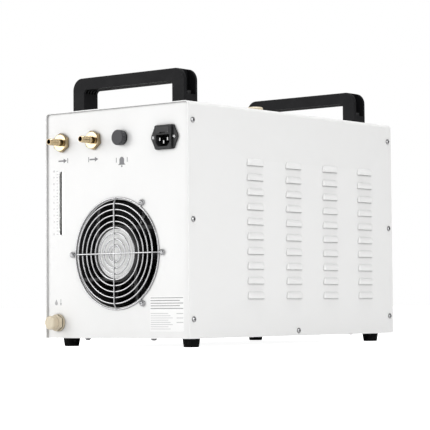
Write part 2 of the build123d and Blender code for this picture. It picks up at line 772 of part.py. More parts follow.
def hose_fitting(x, turn):
    """A brass bulkhead fitting: barbed tail outside, hexagon on the panel, spigot inside."""
    z = CASE_BOTTOM + FITTING_Z
    front = REAR_FACE - FITTING_HEX_DEPTH
    tip = front - BARB_LENGTH
    points = [(FITTING_BORE_R, tip), (BARB_ROOT_R, tip)]
    for index in range(BARB_COUNT):
        end = tip + (index + 1) * BARB_PITCH
        points.append((BARB_R, end - BARB_LAND))
        points.append((BARB_R, end))
        points.append((BARB_ROOT_R, end))
    points += [
        (BARB_ROOT_R, front),
        (FITTING_THREAD_R, front),
        (FITTING_THREAD_R, FITTING_THREAD_END),
        (SPIGOT_R, FITTING_THREAD_END),
        (SPIGOT_R, FITTING_THREAD_END + SPIGOT_LENGTH),
        (FITTING_BORE_R, FITTING_THREAD_END + SPIGOT_LENGTH),
    ]
    collar = hex_collar(FITTING_HEX, turn, x, z, front, REAR_FACE)
    collar -= rod_y(FITTING_THREAD_R - 1, x, z, front - 1, REAR_FACE + 1)
    return turned_y(points, x, z) + collar


def fitting_nuts():
    nuts = []
    for x in (INLET_X, OUTLET_X):
        profile = hexagon(FITTING_NUT_HEX) - Circle(FITTING_THREAD_R + SHAFT_CLEARANCE)
        profile = Pos(x, CASE_BOTTOM + FITTING_Z) * profile
        nuts.append(along_y(profile, REAR_BACK, REAR_BACK + FITTING_NUT))
    return Compound(children=nuts)


def alarm_socket():
    """The round alarm connector's fixed half, with its flange on the panel and a nut behind."""
    z = CASE_BOTTOM + ALARM_Z
    points = [
        (0, REAR_FACE - ALARM_FLANGE - ALARM_NECK),
        (ALARM_NECK_R - 1.5, REAR_FACE - ALARM_FLANGE - ALARM_NECK),
        (ALARM_NECK_R, REAR_FACE - ALARM_FLANGE - ALARM_NECK + 1.5),
        (ALARM_NECK_R, REAR_FACE - ALARM_FLANGE),
        (ALARM_FLANGE_R, REAR_FACE - ALARM_FLANGE),
        (ALARM_FLANGE_R, REAR_FACE),
        (ALARM_NECK_R, REAR_FACE),
        (ALARM_NECK_R, REAR_BACK),
        (ALARM_FLANGE_R, REAR_BACK),
        (ALARM_FLANGE_R, REAR_BACK + ALARM_NUT),
        (ALARM_NECK_R, REAR_BACK + ALARM_NUT),
        (ALARM_NECK_R - 1, REAR_BACK + ALARM_TAIL),
        (0, REAR_BACK + ALARM_TAIL),
    ]
    return turned_y(points, ALARM_X, z)


def alarm_cap():
    """The fluted cap over the alarm connector."""
    z = CASE_BOTTOM + ALARM_Z
    back = REAR_FACE - ALARM_FLANGE - SHEET_GAP
    front = back - ALARM_CAP_DEPTH
    inner = ALARM_NECK_R + SHEET_GAP
    points = [
        (0, front),
        (ALARM_CAP_R - 1, front),
        (ALARM_CAP_R, front + 1),
        (ALARM_CAP_R, back),
        (inner, back),
        (inner, back - ALARM_NECK - SHEET_GAP),
        (0, back - ALARM_NECK - SHEET_GAP),
    ]
    body = turned_y(points, ALARM_X, z)
    flutes = []
    for index in range(ALARM_FLUTES):
        turn = 2 * math.pi * index / ALARM_FLUTES
        x = ALARM_X + (ALARM_CAP_R + FLUTE_OUT) * math.cos(turn)
        height = z + (ALARM_CAP_R + FLUTE_OUT) * math.sin(turn)
        flutes.append(rod_y(FLUTE_R, x, height, front - 1, back - 2))
    return body - flutes


def socket_outline():
    """The mains socket's mouth, with its two lower corners cut, drawn in X and Z."""
    outline = Rectangle(SOCKET_WIDTH, SOCKET_HEIGHT)
    outline = chamfer(outline.vertices().group_by(Axis.Y)[0], SOCKET_CHAMFER)
    return Pos(MAINS_X, CASE_BOTTOM + MAINS_Z - SOCKET_BELOW) * outline


def drawer_outline(clearance):
    outline = Rectangle(DRAWER_WIDTH - 2 * clearance, DRAWER_HEIGHT - 2 * clearance)
    return Pos(MAINS_X, CASE_BOTTOM + MAINS_Z + DRAWER_ABOVE) * outline


def mains_front():
    """Y of the raised block's front on the mains inlet."""
    return REAR_FACE - MAINS_FLANGE - MAINS_BLOCK_RISE


def mains_inlet():
    """The mains inlet: six-sided flange, raised block, socket and drawer pocket."""
    half_flat = MAINS_FLANGE_FLAT / 2
    half_width = MAINS_FLANGE_WIDTH / 2
    half_height = MAINS_FLANGE_HEIGHT / 2
    shoulder = MAINS_FLANGE_TIP / 2
    corners = [
        (half_flat, half_height),
        (half_width, shoulder),
        (half_width, -shoulder),
        (half_flat, -half_height),
        (-half_flat, -half_height),
        (-half_width, -shoulder),
        (-half_width, shoulder),
        (-half_flat, half_height),
    ]
    flange = make_face(Polyline(*corners, close=True))
    flange = fillet(flange.vertices(), MAINS_FLANGE_CORNER)
    flange = Pos(MAINS_X, CASE_BOTTOM + MAINS_Z) * flange
    front = mains_front()
    body = along_y(flange, REAR_FACE - MAINS_FLANGE, REAR_FACE)
    block = RectangleRounded(MAINS_BLOCK_WIDTH, MAINS_BLOCK_HEIGHT, 2.0)
    body += along_y(Pos(MAINS_X, CASE_BOTTOM + MAINS_Z) * block, front, REAR_FACE)
    body += along_y(mains_body_outline(0), REAR_FACE - 1, REAR_FACE + MAINS_BODY_DEPTH)
    body -= along_y(socket_outline(), front - 1, front + SOCKET_DEPTH)
    body -= along_y(drawer_outline(0), front - 1, front + DRAWER_DEPTH + 1)
    for x, z in mains_screw_places():
        body -= rod_y(MAINS_SCREW_R + SCREW_CLEARANCE, x, z, REAR_FACE - MAINS_FLANGE - 1, REAR_FACE + 1)
    for x, z in mains_pin_places():
        pin = Pos(x, z) * Rectangle(PIN_THICKNESS + 0.1, PIN_WIDTH + 0.1)
        body -= along_y(pin, front + SOCKET_DEPTH - 1, REAR_FACE + MAINS_BODY_DEPTH + 1)
    return body


def mains_pin_places():
    """X and Z of the line, neutral and earth pins."""
    z = CASE_BOTTOM + MAINS_Z - SOCKET_BELOW
    half = PIN_PITCH / 2
    middle = EARTH_PIN_DROP / 2
    return [(MAINS_X - half, z + middle), (MAINS_X + half, z + middle), (MAINS_X, z - middle)]


def mains_pins():
    floor = mains_front() + SOCKET_DEPTH
    pins = []
    for x, z in mains_pin_places():
        blade = Pos(x, z) * Rectangle(PIN_THICKNESS, PIN_WIDTH)
        pins.append(along_y(blade, floor - PIN_LENGTH, REAR_FACE + MAINS_BODY_DEPTH + 6))
    return Compound(children=pins)


def fuse_place():
    """Y and Z of the fuse's axis in its drawer."""
    return mains_front() + DRAWER_DEPTH - FUSE_FROM_END, CASE_BOTTOM + MAINS_Z + DRAWER_ABOVE


def fuse_drawer():
    """The sliding drawer that holds the fuse, with a finger notch in its front."""
    front = mains_front() - DRAWER_PROUD
    body = along_y(drawer_outline(DRAWER_CLEARANCE), front, mains_front() + DRAWER_DEPTH)
    z = CASE_BOTTOM + MAINS_Z + DRAWER_ABOVE
    notch = Pos(MAINS_X, z - DRAWER_HEIGHT / 2) * Rectangle(DRAWER_NOTCH_WIDTH, DRAWER_NOTCH_HEIGHT)
    body -= along_y(notch, front - 1, front + DRAWER_NOTCH_DEPTH)
    y, fuse_z = fuse_place()
    half = FUSE_LENGTH / 2 + 0.2
    body -= rod_x(FUSE_R + 0.1, y, fuse_z, MAINS_X - half, MAINS_X + half)
    mouth = Pos(y, fuse_z + DRAWER_HEIGHT / 4 + 1) * Rectangle(2 * FUSE_R + 0.2, DRAWER_HEIGHT / 2 + 2)
    return body - along_x(mouth, MAINS_X - half, MAINS_X + half)


def fuse():
    y, z = fuse_place()
    half = FUSE_LENGTH / 2
    return rod_x(FUSE_R, y, z, MAINS_X - half, MAINS_X + half)


def mains_screws():
    screw = pan_screw(MAINS_SCREW_R, MAINS_SCREW_HEAD_R, MAINS_SCREW_HEAD, CASE_SCREW_LENGTH)
    y = REAR_FACE - MAINS_FLANGE
    return Compound(children=[Pos(x, y, z) * Rot(90, 0, 0) * screw for x, z in mains_screw_places()])


def gauge_y():
    """Y of the sight tube's axis."""
    return REAR_BACK + SHEET_GAP + GAUGE_ELBOW_R


def gauge_ends():
    """Z of the sight tube's two ends."""
    margin = GAUGE_SLOT
    return CASE_BOTTOM + GAUGE_LOW_Z - margin, CASE_BOTTOM + GAUGE_HIGH_Z + margin


def gauge_tube():
    low, high = gauge_ends()
    ring = Circle(GAUGE_TUBE_R) - Circle(GAUGE_TUBE_R - GAUGE_WALL)
    return along_z(Pos(GAUGE_X, gauge_y()) * ring, low, high)


def gauge_elbows():
    """The two elbows that hold the sight tube and lead to the tank."""
    low, high = gauge_ends()
    y = gauge_y()
    spigot_end = y + GAUGE_ELBOW_R + SPIGOT_LENGTH
    elbows = []
    for end, away in ((low, -1), (high, 1)):
        inner = end - away * GAUGE_SOCKET
        outer = end + away * (GAUGE_ELBOW - GAUGE_SOCKET)
        body = rod_z(GAUGE_ELBOW_R, GAUGE_X, y, min(inner, outer), max(inner, outer))
        branch_z = end + away * SMALL_SPIGOT_R
        body += rod_y(SMALL_SPIGOT_R, GAUGE_X, branch_z, y, spigot_end)
        socket = GAUGE_TUBE_R + SHAFT_CLEARANCE
        body -= rod_z(socket, GAUGE_X, y, min(inner - away, end), max(inner - away, end))
        body -= rod_y(SMALL_SPIGOT_R - 1, GAUGE_X, branch_z, y, spigot_end + 1)
        elbows.append(body)
    return Compound(children=elbows)


def drain_fitting():
    """The drain's panel fitting: round flange, hexagon, threaded neck, spigot inside."""
    z = CASE_BOTTOM + DRAIN_Z
    points = [
        (DRAIN_BORE_R, DRAIN_HEX_FRONT - DRAIN_NECK),
        (DRAIN_NECK_R, DRAIN_HEX_FRONT - DRAIN_NECK),
        (DRAIN_NECK_R, DRAIN_HEX_FRONT + 1),
        (DRAIN_SEAM_R, DRAIN_HEX_FRONT + 1),
        (DRAIN_SEAM_R, REAR_FACE - DRAIN_FLANGE),
        (DRAIN_FLANGE_R, REAR_FACE - DRAIN_FLANGE),
        (DRAIN_FLANGE_R, REAR_FACE),
        (DRAIN_THREAD_R, REAR_FACE),
        (DRAIN_THREAD_R, DRAIN_THREAD_END),
        (SPIGOT_R, DRAIN_THREAD_END),
        (SPIGOT_R, DRAIN_THREAD_END + SPIGOT_LENGTH),
        (DRAIN_BORE_R, DRAIN_THREAD_END + SPIGOT_LENGTH),
    ]
    collar = hex_collar(DRAIN_HEX, 0, DRAIN_X, z, DRAIN_HEX_FRONT, DRAIN_HEX_BACK)
    collar -= rod_y(DRAIN_NECK_R - 1, DRAIN_X, z, DRAIN_HEX_FRONT - 1, DRAIN_HEX_BACK + 1)
    return turned_y(points, DRAIN_X, z) + collar


def drain_nut():
    profile = hexagon(DRAIN_NUT_HEX) - Circle(DRAIN_THREAD_R + SHAFT_CLEARANCE)
    return along_y(Pos(DRAIN_X, CASE_BOTTOM + DRAIN_Z) * profile, REAR_BACK, REAR_BACK + DRAIN_NUT)


def drain_cap():
    """The round cap that closes the drain."""
    back = DRAIN_HEX_FRONT - SHEET_GAP
    front = back - DRAIN_CAP_DEPTH
    inner = DRAIN_NECK_R + SHEET_GAP
    floor = back - DRAIN_NECK - SHEET_GAP
    points = [
        (0, front),
        (DRAIN_CAP_R - 1.5, front),
        (DRAIN_CAP_R, front + 1.5),
        (DRAIN_CAP_R, back),
        (inner, back),
        (inner, floor),
        (0, floor),
    ]
    return turned_y(points, DRAIN_X, CASE_BOTTOM + DRAIN_Z)


# Fan

def fan_guard():
    """Welded wire guard: rings on two crossed bars, with an eye for each screw."""
    rings = [Pos(FAN_X, GUARD_OUTER_Y, FAN_CENTRE_Z) * Rot(90, 0, 0) * Torus(GUARD_OUTER_R, GUARD_WIRE_R)]
    for index in range(GUARD_INNER_RINGS):
        radius = GUARD_INNER_R - index * GUARD_PITCH
        ring = Rot(90, 0, 0) * Torus(radius, GUARD_WIRE_R)
        rings.append(Pos(FAN_X, GUARD_INNER_Y, FAN_CENTRE_Z) * ring)
    weld = GUARD_WELD
    bar_y = GUARD_INNER_Y - 2 * GUARD_WIRE_R + weld
    level = GUARD_INNER_R + 1
    outer = GUARD_OUTER_R
    vertical = [
        (FAN_X, GUARD_OUTER_Y - weld, FAN_CENTRE_Z - outer),
        (FAN_X, bar_y, FAN_CENTRE_Z - level),
        (FAN_X, bar_y, FAN_CENTRE_Z + level),
        (FAN_X, GUARD_OUTER_Y - weld, FAN_CENTRE_Z + outer),
    ]
    horizontal = [
        (FAN_X - outer, GUARD_OUTER_Y - weld, FAN_CENTRE_Z),
        (FAN_X - level, bar_y, FAN_CENTRE_Z),
        (FAN_X + level, bar_y, FAN_CENTRE_Z),
        (FAN_X + outer, GUARD_OUTER_Y - weld, FAN_CENTRE_Z),
    ]
    bars = []
    for points in (vertical, horizontal):
        path = FilletPolyline(*points, radius=GUARD_BEND)
        section = Plane(origin=path @ 0, z_dir=path % 0) * Circle(GUARD_WIRE_R)
        bars.append(sweep(section, path=path))
    eye_r = CASE_SCREW_R + SCREW_CLEARANCE + GUARD_WIRE_R
    eyes = []
    for x, z in guard_screw_places():
        eyes.append(Pos(x, GUARD_OUTER_Y, z) * Rot(90, 0, 0) * Torus(eye_r, GUARD_WIRE_R))
        angle = math.atan2(z - FAN_CENTRE_Z, x - FAN_X)
        outward = Vector(math.cos(angle), 0, math.sin(angle))
        foot_of_eye = Vector(FAN_X, GUARD_OUTER_Y, FAN_CENTRE_Z) + outward * GUARD_OUTER_R
        stem = Plane(origin=foot_of_eye, z_dir=outward) * Circle(GUARD_WIRE_R)
        eyes.append(extrude(stem, amount=GUARD_SCREW_R - eye_r - GUARD_OUTER_R))
    guard = rings[0]
    for piece in bars + rings[1:] + eyes:
        guard = guard + piece
    return guard


def guard_screws():
    screw = pan_screw(CASE_SCREW_R, CASE_SCREW_HEAD_R, CASE_SCREW_HEAD, CASE_SCREW_LENGTH)
    y = REAR_FACE - 2 * GUARD_WIRE_R
    return Compound(children=[Pos(x, y, z) * Rot(90, 0, 0) * screw for x, z in guard_screw_places()])


def fan_frame():
    """The cast fan frame: mounting flange, duct ring, four offset struts and the hub cup."""
    flange = Circle(FAN_FLANGE_R) & Rectangle(4 * FAN_FLANGE_R, 2 * FAN_FLANGE_HALF_HEIGHT)
    body = along_y(Pos(FAN_X, FAN_CENTRE_Z) * flange, REAR_BACK, REAR_BACK + FAN_FLANGE)
    body += rod_y(FAN_OPENING_R + FAN_WALL, FAN_X, FAN_CENTRE_Z, REAR_BACK, FAN_END)
    body -= rod_y(FAN_OPENING_R, FAN_X, FAN_CENTRE_Z, REAR_BACK - 1, FAN_END + 1)
    struts = []
    reach = math.sqrt((FAN_OPENING_R + 1) ** 2 - STRUT_OFFSET**2)
    rim_y = HUB_FRONT + STRUT_RECEDE
    strut = make_face(
        Polyline(
            (0, HUB_FRONT),
            (HUB_R * 0.75, HUB_FRONT),
            (reach, rim_y),
            (reach, rim_y + STRUT_THICKNESS),
            (HUB_R * 0.75, HUB_FRONT + STRUT_THICKNESS),
            (0, HUB_FRONT + STRUT_THICKNESS),
            close=True,
        )
    )
    strut = extrude(strut, amount=STRUT_WIDTH / 2, both=True)
    for turn in (0, 90, 180, 270):
        placed = Rot(0, turn, 0) * Pos(0, 0, STRUT_OFFSET) * strut
        struts.append(Pos(FAN_X, 0, FAN_CENTRE_Z) * placed)
    body = body + struts
    cup_end = HUB_FRONT + HUB_SKIRT
    body += rod_y(HUB_R, FAN_X, FAN_CENTRE_Z, HUB_FRONT, cup_end)
    body -= rod_y(HUB_R - HUB_WALL, FAN_X, FAN_CENTRE_Z, HUB_FRONT + HUB_PLATE, cup_end + 1)
    tube_start = HUB_FRONT + HUB_PLATE
    tube_end = tube_start + BEARING_TUBE_DEPTH
    body += rod_y(BEARING_R + BEARING_TUBE_WALL, FAN_X, FAN_CENTRE_Z, tube_start - 1, tube_end)
    body -= rod_y(BEARING_R, FAN_X, FAN_CENTRE_Z, tube_start, tube_end + 1)
    for x, z in guard_screw_places():
        body -= rod_y(CASE_SCREW_R + SHAFT_CLEARANCE, x, z, REAR_BACK - 1, REAR_BACK + FAN_FLANGE + 1)
    return body


def fan_bearings():
    """A ball bearing at each end of the hub's tube, drawn closed."""
    start = HUB_FRONT + HUB_PLATE
    ring = Circle(BEARING_R) - Circle(SHAFT_R + SHAFT_CLEARANCE)
    ring = Pos(FAN_X, FAN_CENTRE_Z) * ring
    last = start + BEARING_TUBE_DEPTH
    first = along_y(ring, start, start + BEARING_WIDTH)
    return Compound(children=[first, along_y(ring, last - BEARING_WIDTH, last)])


def rotor_start():
    """Y of the rotor's open rim."""
    return HUB_FRONT + HUB_SKIRT + ROTOR_GAP


def fan_stator():
    """The wound core around the bearing tube, with its slots."""
    start = rotor_start() + 3
    end = HUB_FRONT + HUB_PLATE + BEARING_TUBE_DEPTH - 4
    outer = ROTOR_R - ROTOR_WALL - STATOR_GAP
    inner = BEARING_R + BEARING_TUBE_WALL
    core = Circle(outer) - Circle(inner)
    slots = PolarLocations(outer - 5, STATOR_SLOTS) * Rectangle(14, 2.5)
    return along_y(Pos(FAN_X, FAN_CENTRE_Z) * (core - slots), start, end)


def blade_section(radius, chord, pitch):
    """One section of a blade, square to its span, as a thin rounded strip."""
    plane = Plane(origin=(0, 0, radius), x_dir=(1, 0, 0), z_dir=(0, 0, 1))
    return plane * Rot(0, 0, pitch) * Rectangle(chord, BLADE_THICKNESS)


def fan_rotor():
    """The rotor: a cup that turns on the shaft and the twisted blades around it."""
    start = rotor_start()
    end = start + ROTOR_DEPTH
    cup = rod_y(ROTOR_R, 0, 0, start, end)
    cup -= rod_y(ROTOR_R - ROTOR_WALL, 0, 0, start - 1, end - ROTOR_WALL)
    boss_start = HUB_FRONT + HUB_PLATE + BEARING_TUBE_DEPTH + 1
    cup += rod_y(SHAFT_R + ROTOR_BOSS, 0, 0, boss_start, end)
    cup -= rod_y(SHAFT_R, 0, 0, boss_start - 1, end + 1)
    tip = FAN_OPENING_R - BLADE_TIP_GAP
    middle_y = start + ROTOR_DEPTH / 2
    sections = [
        blade_section(ROTOR_R - 1.5, BLADE_ROOT_CHORD, BLADE_ROOT_PITCH),
        blade_section(tip, BLADE_TIP_CHORD, BLADE_TIP_PITCH),
    ]
    blade = loft(sections, ruled=True)
    blade = blade & rod_y(tip, 0, 0, -ROTOR_DEPTH, ROTOR_DEPTH)
    blade = Pos(0, middle_y, 0) * blade
    blades = [Rot(0, 360 * index / BLADE_COUNT, 0) * blade for index in range(BLADE_COUNT)]
    return Pos(FAN_X, 0, FAN_CENTRE_Z) * (cup + blades)


def fan_shaft():
    start = HUB_FRONT + HUB_PLATE + 0.5
    return rod_y(SHAFT_R, FAN_X, FAN_CENTRE_Z, start, rotor_start() + ROTOR_DEPTH)


# Radiator

def tube_rows():
    """Z of each pass of the radiator's tube."""
    first = FAN_CENTRE_Z - (TUBE_PASSES - 1) / 2 * TUBE_PITCH
    return [first + index * TUBE_PITCH for index in range(TUBE_PASSES)]


def radiator_core():
    """The fin block with its end plates, which stand on the tray."""
    half = CORE_WIDTH / 2
    low = FAN_CENTRE_Z - CORE_HEIGHT / 2
    high = FAN_CENTRE_Z + CORE_HEIGHT / 2
    block = Rectangle(CORE_WIDTH, high - low)
    body = along_y(Pos(FAN_X, FAN_CENTRE_Z) * block, CORE_Y, CORE_Y + CORE_DEPTH)
    grooves = []
    for index in range(FIN_GROOVES):
        x = FAN_X + (index - (FIN_GROOVES - 1) / 2) * (CORE_WIDTH / (FIN_GROOVES + 1))
        groove = Pos(x, FAN_CENTRE_Z) * Rectangle(FIN_GROOVE_WIDTH, CORE_HEIGHT - 10)
        grooves.append(along_y(groove, CORE_Y - 1, CORE_Y + FIN_GROOVE_DEPTH))
        grooves.append(along_y(groove, CORE_Y + CORE_DEPTH - FIN_GROOVE_DEPTH, CORE_Y + CORE_DEPTH + 1))
    body = body - grooves
    depth = Rectangle(CORE_DEPTH, high - TRAY_TOP)
    for side in (-1, 1):
        inner = FAN_X + side * half
        outer = inner + side * CORE_END_PLATE
        plate = Pos(CORE_Y + CORE_DEPTH / 2, (high + TRAY_TOP) / 2) * depth
        body += along_x(plate, min(inner, outer), max(inner, outer))
        tip = outer - side * CORE_FOOT
        foot_plan = Pos((outer + tip) / 2, CORE_Y + CORE_DEPTH / 2) * Rectangle(CORE_FOOT, CORE_DEPTH)
        body += along_z(foot_plan, TRAY_TOP, TRAY_TOP + CORE_END_PLATE)
    holes = [
        rod_x(TUBE_R + TUBE_CLEARANCE, CORE_Y + CORE_DEPTH / 2, z, FAN_X - half - 5, FAN_X + half + 5)
        for z in tube_rows()
    ]
    return body - holes


def radiator_ends():
    """X of the left and right bends' corners, and Y of the tube's plane."""
    reach = CORE_WIDTH / 2 + CORE_END_PLATE + TUBE_OVERHANG
    return FAN_X - reach, FAN_X + reach, CORE_Y + CORE_DEPTH / 2


def radiator_tube():
    """One tube folded back and forth through the fins, both ends on the left."""
    left, right, y = radiator_ends()
    rows = tube_rows()
    points = [(left, y + RADIATOR_STUB, rows[0])]
    for index, z in enumerate(rows):
        sides = (left, right) if index % 2 == 0 else (right, left)
        points += [(side, y, z) for side in sides]
    points.append((left, y, rows[-1] + RADIATOR_STUB))
    path = FilletPolyline(*points, radius=TUBE_BEND)
    section = Plane(origin=path @ 0, z_dir=path % 0) * (Circle(TUBE_R) - Circle(TUBE_R - 1))
    return sweep(section, path=path)


def radiator_shroud():
    """The sheet duct between the fan's ring and the fins."""
    half_width = CORE_WIDTH / 2
    half_height = CORE_HEIGHT / 2
    outer = Pos(FAN_X, FAN_CENTRE_Z) * Rectangle(2 * half_width, 2 * half_height)
    inner = offset(outer, amount=-PANEL_SHEET)
    body = along_y(outer, FAN_END, CORE_Y)
    body -= along_y(inner, FAN_END + PANEL_SHEET, CORE_Y + 1)
    return body - rod_y(FAN_OPENING_R, FAN_X, FAN_CENTRE_Z, FAN_END - 1, CORE_Y)


# Tank

def tank_box(inset, corner):
    """Plan of the tank, drawn in by an inset."""
    width = TANK_RIGHT - TANK_LEFT - 2 * inset
    depth = TANK_FRONT - TANK_BACK - 2 * inset
    middle = ((TANK_LEFT + TANK_RIGHT) / 2, REAR_EDGE + (TANK_BACK + TANK_FRONT) / 2)
    return Pos(*middle) * RectangleRounded(width, depth, corner)


def tank_ports():
    """Y, Z and outer radius of each spigot on the tank's left wall."""
    gauge_low, gauge_high = gauge_ends()
    return {
        "drain": (REAR_EDGE + DRAIN_PORT_Y, CASE_BOTTOM + DRAIN_Z, SPIGOT_R),
        "suction": (REAR_EDGE + SUCTION_PORT_Y, PUMP_AXIS_Z, SPIGOT_R),
        "return": (REAR_EDGE + RETURN_PORT_Y, CASE_BOTTOM + RETURN_PORT_Z, SPIGOT_R),
        "gauge_low": (REAR_EDGE + GAUGE_PORT_Y, gauge_low - SMALL_SPIGOT_R, SMALL_SPIGOT_R),
        "gauge_high": (REAR_EDGE + GAUGE_PORT_Y, gauge_high + SMALL_SPIGOT_R, SMALL_SPIGOT_R),
    }


def water_tank():
    """The moulded tank: open on top, with hose spigots on its left wall."""
    body = along_z(tank_box(0, TANK_CORNER), TRAY_TOP, TANK_TOP)
    inside = tank_box(TANK_WALL, TANK_CORNER - TANK_WALL)
    body -= along_z(inside, TRAY_TOP + TANK_WALL, TANK_TOP + 1)
    for y, z, radius in tank_ports().values():
        body += rod_x(radius, y, z, TANK_LEFT - SPIGOT_LENGTH, TANK_LEFT + 1)
    for y, z, radius in tank_ports().values():
        body -= rod_x(radius - PORT_WALL, y, z, TANK_LEFT - SPIGOT_LENGTH - 1, TANK_LEFT + TANK_WALL + 1)
    return body


def tank_lid():
    """The tank's lid, with a lip inside the wall and a hole for the filler."""
    corner = TANK_CORNER - TANK_WALL
    lip = tank_box(TANK_WALL + SHEET_GAP, corner) - tank_box(2 * TANK_WALL, corner)
    top = TANK_TOP + TANK_LID
    body = along_z(tank_box(0, TANK_CORNER), TANK_TOP, top)
    body += along_z(lip, TANK_TOP - TANK_LID_LIP, TANK_TOP)
    bore = FILLER_NECK_R - FILLER_WALL
    return body - rod_z(bore, FILLER_X, REAR_EDGE + FILLER_Y, TANK_TOP - 1, top + 1)


def filler_neck():
    """The filler tube from the tank's lid to its collar above the cover."""
    bore = FILLER_NECK_R - FILLER_WALL
    bottom = TANK_TOP + TANK_LID
    flange_top = CASE_TOP + FILLER_FLANGE
    points = [
        (bore, bottom),
        (FILLER_NECK_R, bottom),
        (FILLER_NECK_R, CASE_TOP),
        (FILLER_FLANGE_R, CASE_TOP),
        (FILLER_FLANGE_R, flange_top - 1),
        (FILLER_FLANGE_R - 1, flange_top),
        (FILLER_NECK_R, flange_top),
        (FILLER_NECK_R, flange_top + FILLER_COLLAR),
        (bore, flange_top + FILLER_COLLAR),
    ]
    return turned_z(points, FILLER_X, REAR_EDGE + FILLER_Y)


def filler_cap():
    """The fluted cap over the filler's collar."""
    bottom = CASE_TOP + FILLER_FLANGE + SHEET_GAP
    top = bottom + FILLER_CAP_HEIGHT
    inner = FILLER_NECK_R + SHEET_GAP
    ceiling = bottom + FILLER_COLLAR + SHEET_GAP
    y = REAR_EDGE + FILLER_Y
    points = [
        (inner, bottom),
        (FILLER_CAP_R, bottom),
        (FILLER_CAP_R, top - 1.5),
        (FILLER_CAP_R - 1.5, top),
        (0, top),
        (0, ceiling),
        (inner, ceiling),
    ]
    body = turned_z(points, FILLER_X, y)
    flutes = []
    for index in range(FILLER_CAP_FLUTES):
        turn = 2 * math.pi * index / FILLER_CAP_FLUTES
        flute_x = FILLER_X + (FILLER_CAP_R + FLUTE_OUT) * math.cos(turn)
        flute_y = y + (FILLER_CAP_R + FLUTE_OUT) * math.sin(turn)
        flutes.append(rod_z(FLUTE_R, flute_x, flute_y, bottom - 1, top - 3))
    return body - flutes


# Pump and flow switch

def pump_body():
    """The pump's volute, finned motor and foot, with its discharge pointing up."""
    face = PUMP_FACE
    z = PUMP_AXIS_Z
    motor_start = face + VOLUTE_DEPTH
    motor_end = motor_start + PUMP_MOTOR_LENGTH
    body = rod_y(VOLUTE_R, PUMP_X, z, face, motor_start)
    body += rod_y(PUMP_MOTOR_R - 2, PUMP_X, z, motor_start, motor_end)
    for index in range(PUMP_FINS):
        start = motor_start + 6 + index * (PUMP_MOTOR_LENGTH - 12) / PUMP_FINS
        body += rod_y(PUMP_MOTOR_R, PUMP_X, z, start, start + 2.5)
    foot_height = z - TRAY_TOP
    column = Pos(PUMP_X, TRAY_TOP + foot_height / 2) * Rectangle(PUMP_FOOT_WIDTH * 0.55, foot_height)
    body += along_y(column, motor_start + 8, motor_end - 8)
    foot_plan = Rectangle(PUMP_FOOT_WIDTH, PUMP_MOTOR_LENGTH - 10)
    foot_plan = Pos(PUMP_X, (motor_start + motor_end) / 2) * foot_plan
    body += along_z(foot_plan, TRAY_TOP, TRAY_TOP + PUMP_FOOT_HEIGHT)
    discharge_y = face + VOLUTE_DEPTH / 2
    top = z + VOLUTE_R + DISCHARGE_LENGTH
    body += rod_z(SPIGOT_R + 2, PUMP_X, discharge_y, z, top)
    body -= rod_y(VOLUTE_R - VOLUTE_WALL, PUMP_X, z, face - 1, motor_start - VOLUTE_WALL)
    body -= rod_z(SPIGOT_R - PORT_WALL, PUMP_X, discharge_y, z, top + 1)
    return body - rod_y(SHAFT_R + SHAFT_CLEARANCE, PUMP_X, z, face, motor_start + 20)


def pump_cover():
    """The plate that closes the volute, with the suction spigot in its middle."""
    face = PUMP_FACE
    points = [
        (SPIGOT_R - PORT_WALL, face - PUMP_COVER - SPIGOT_LENGTH),
        (SPIGOT_R, face - PUMP_COVER - SPIGOT_LENGTH),
        (SPIGOT_R, face - PUMP_COVER),
        (VOLUTE_R, face - PUMP_COVER),
        (VOLUTE_R, face),
        (SPIGOT_R - PORT_WALL, face),
    ]
    return turned_y(points, PUMP_X, PUMP_AXIS_Z)


def pump_impeller():
    """The impeller: a disc with curved vanes on its suction side, on its own shaft."""
    start = PUMP_FACE + IMPELLER_GAP
    back = PUMP_FACE + VOLUTE_DEPTH - VOLUTE_WALL - IMPELLER_GAP
    disc = rod_y(IMPELLER_R, 0, 0, back - 3, back)
    hub = rod_y(SHAFT_R + 2, 0, 0, start + 3, back)
    shaft = rod_y(SHAFT_R, 0, 0, start + 3, PUMP_FACE + VOLUTE_DEPTH + 18)
    vane_path = ThreePointArc((SHAFT_R + 1, 0), (IMPELLER_R * 0.6, 4), (IMPELLER_R - 1, 11))
    vane = along_y(trace(vane_path, line_width=2), start + 2, back - 1)
    vanes = [Rot(0, 360 * index / IMPELLER_VANES, 0) * vane for index in range(IMPELLER_VANES)]
    body = disc + hub + shaft + vanes
    return Pos(PUMP_X, 0, PUMP_AXIS_Z) * body


def switch_bottom():
    """Z of the flow switch's underside, on the pump's discharge."""
    return PUMP_AXIS_Z + VOLUTE_R + DISCHARGE_LENGTH


def flow_switch():
    """The flow switch: a block in the outlet line with its sensor's body on the side."""
    y = PUMP_FACE + VOLUTE_DEPTH / 2
    bottom = switch_bottom()
    top = bottom + SWITCH_HEIGHT
    block = Pos(PUMP_X, y) * RectangleRounded(SWITCH_SIZE, SWITCH_SIZE, 3)
    body = along_z(block, bottom, top)
    body += rod_z(SPIGOT_R, PUMP_X, y, top, top + SWITCH_STUB)
    body += rod_y(8, PUMP_X, bottom + SWITCH_HEIGHT / 2, y, y + SWITCH_SIZE / 2 + 14)
    return body - rod_z(SPIGOT_R - PORT_WALL, PUMP_X, y, bottom - 1, top + SWITCH_STUB + 1)


# Hoses

def spigot_tip(x):
    """The start of a hose on a panel fitting's inner spigot."""
    return (x, FITTING_THREAD_END + SPIGOT_LENGTH - HOSE_OVERLAP, CASE_BOTTOM + FITTING_Z)


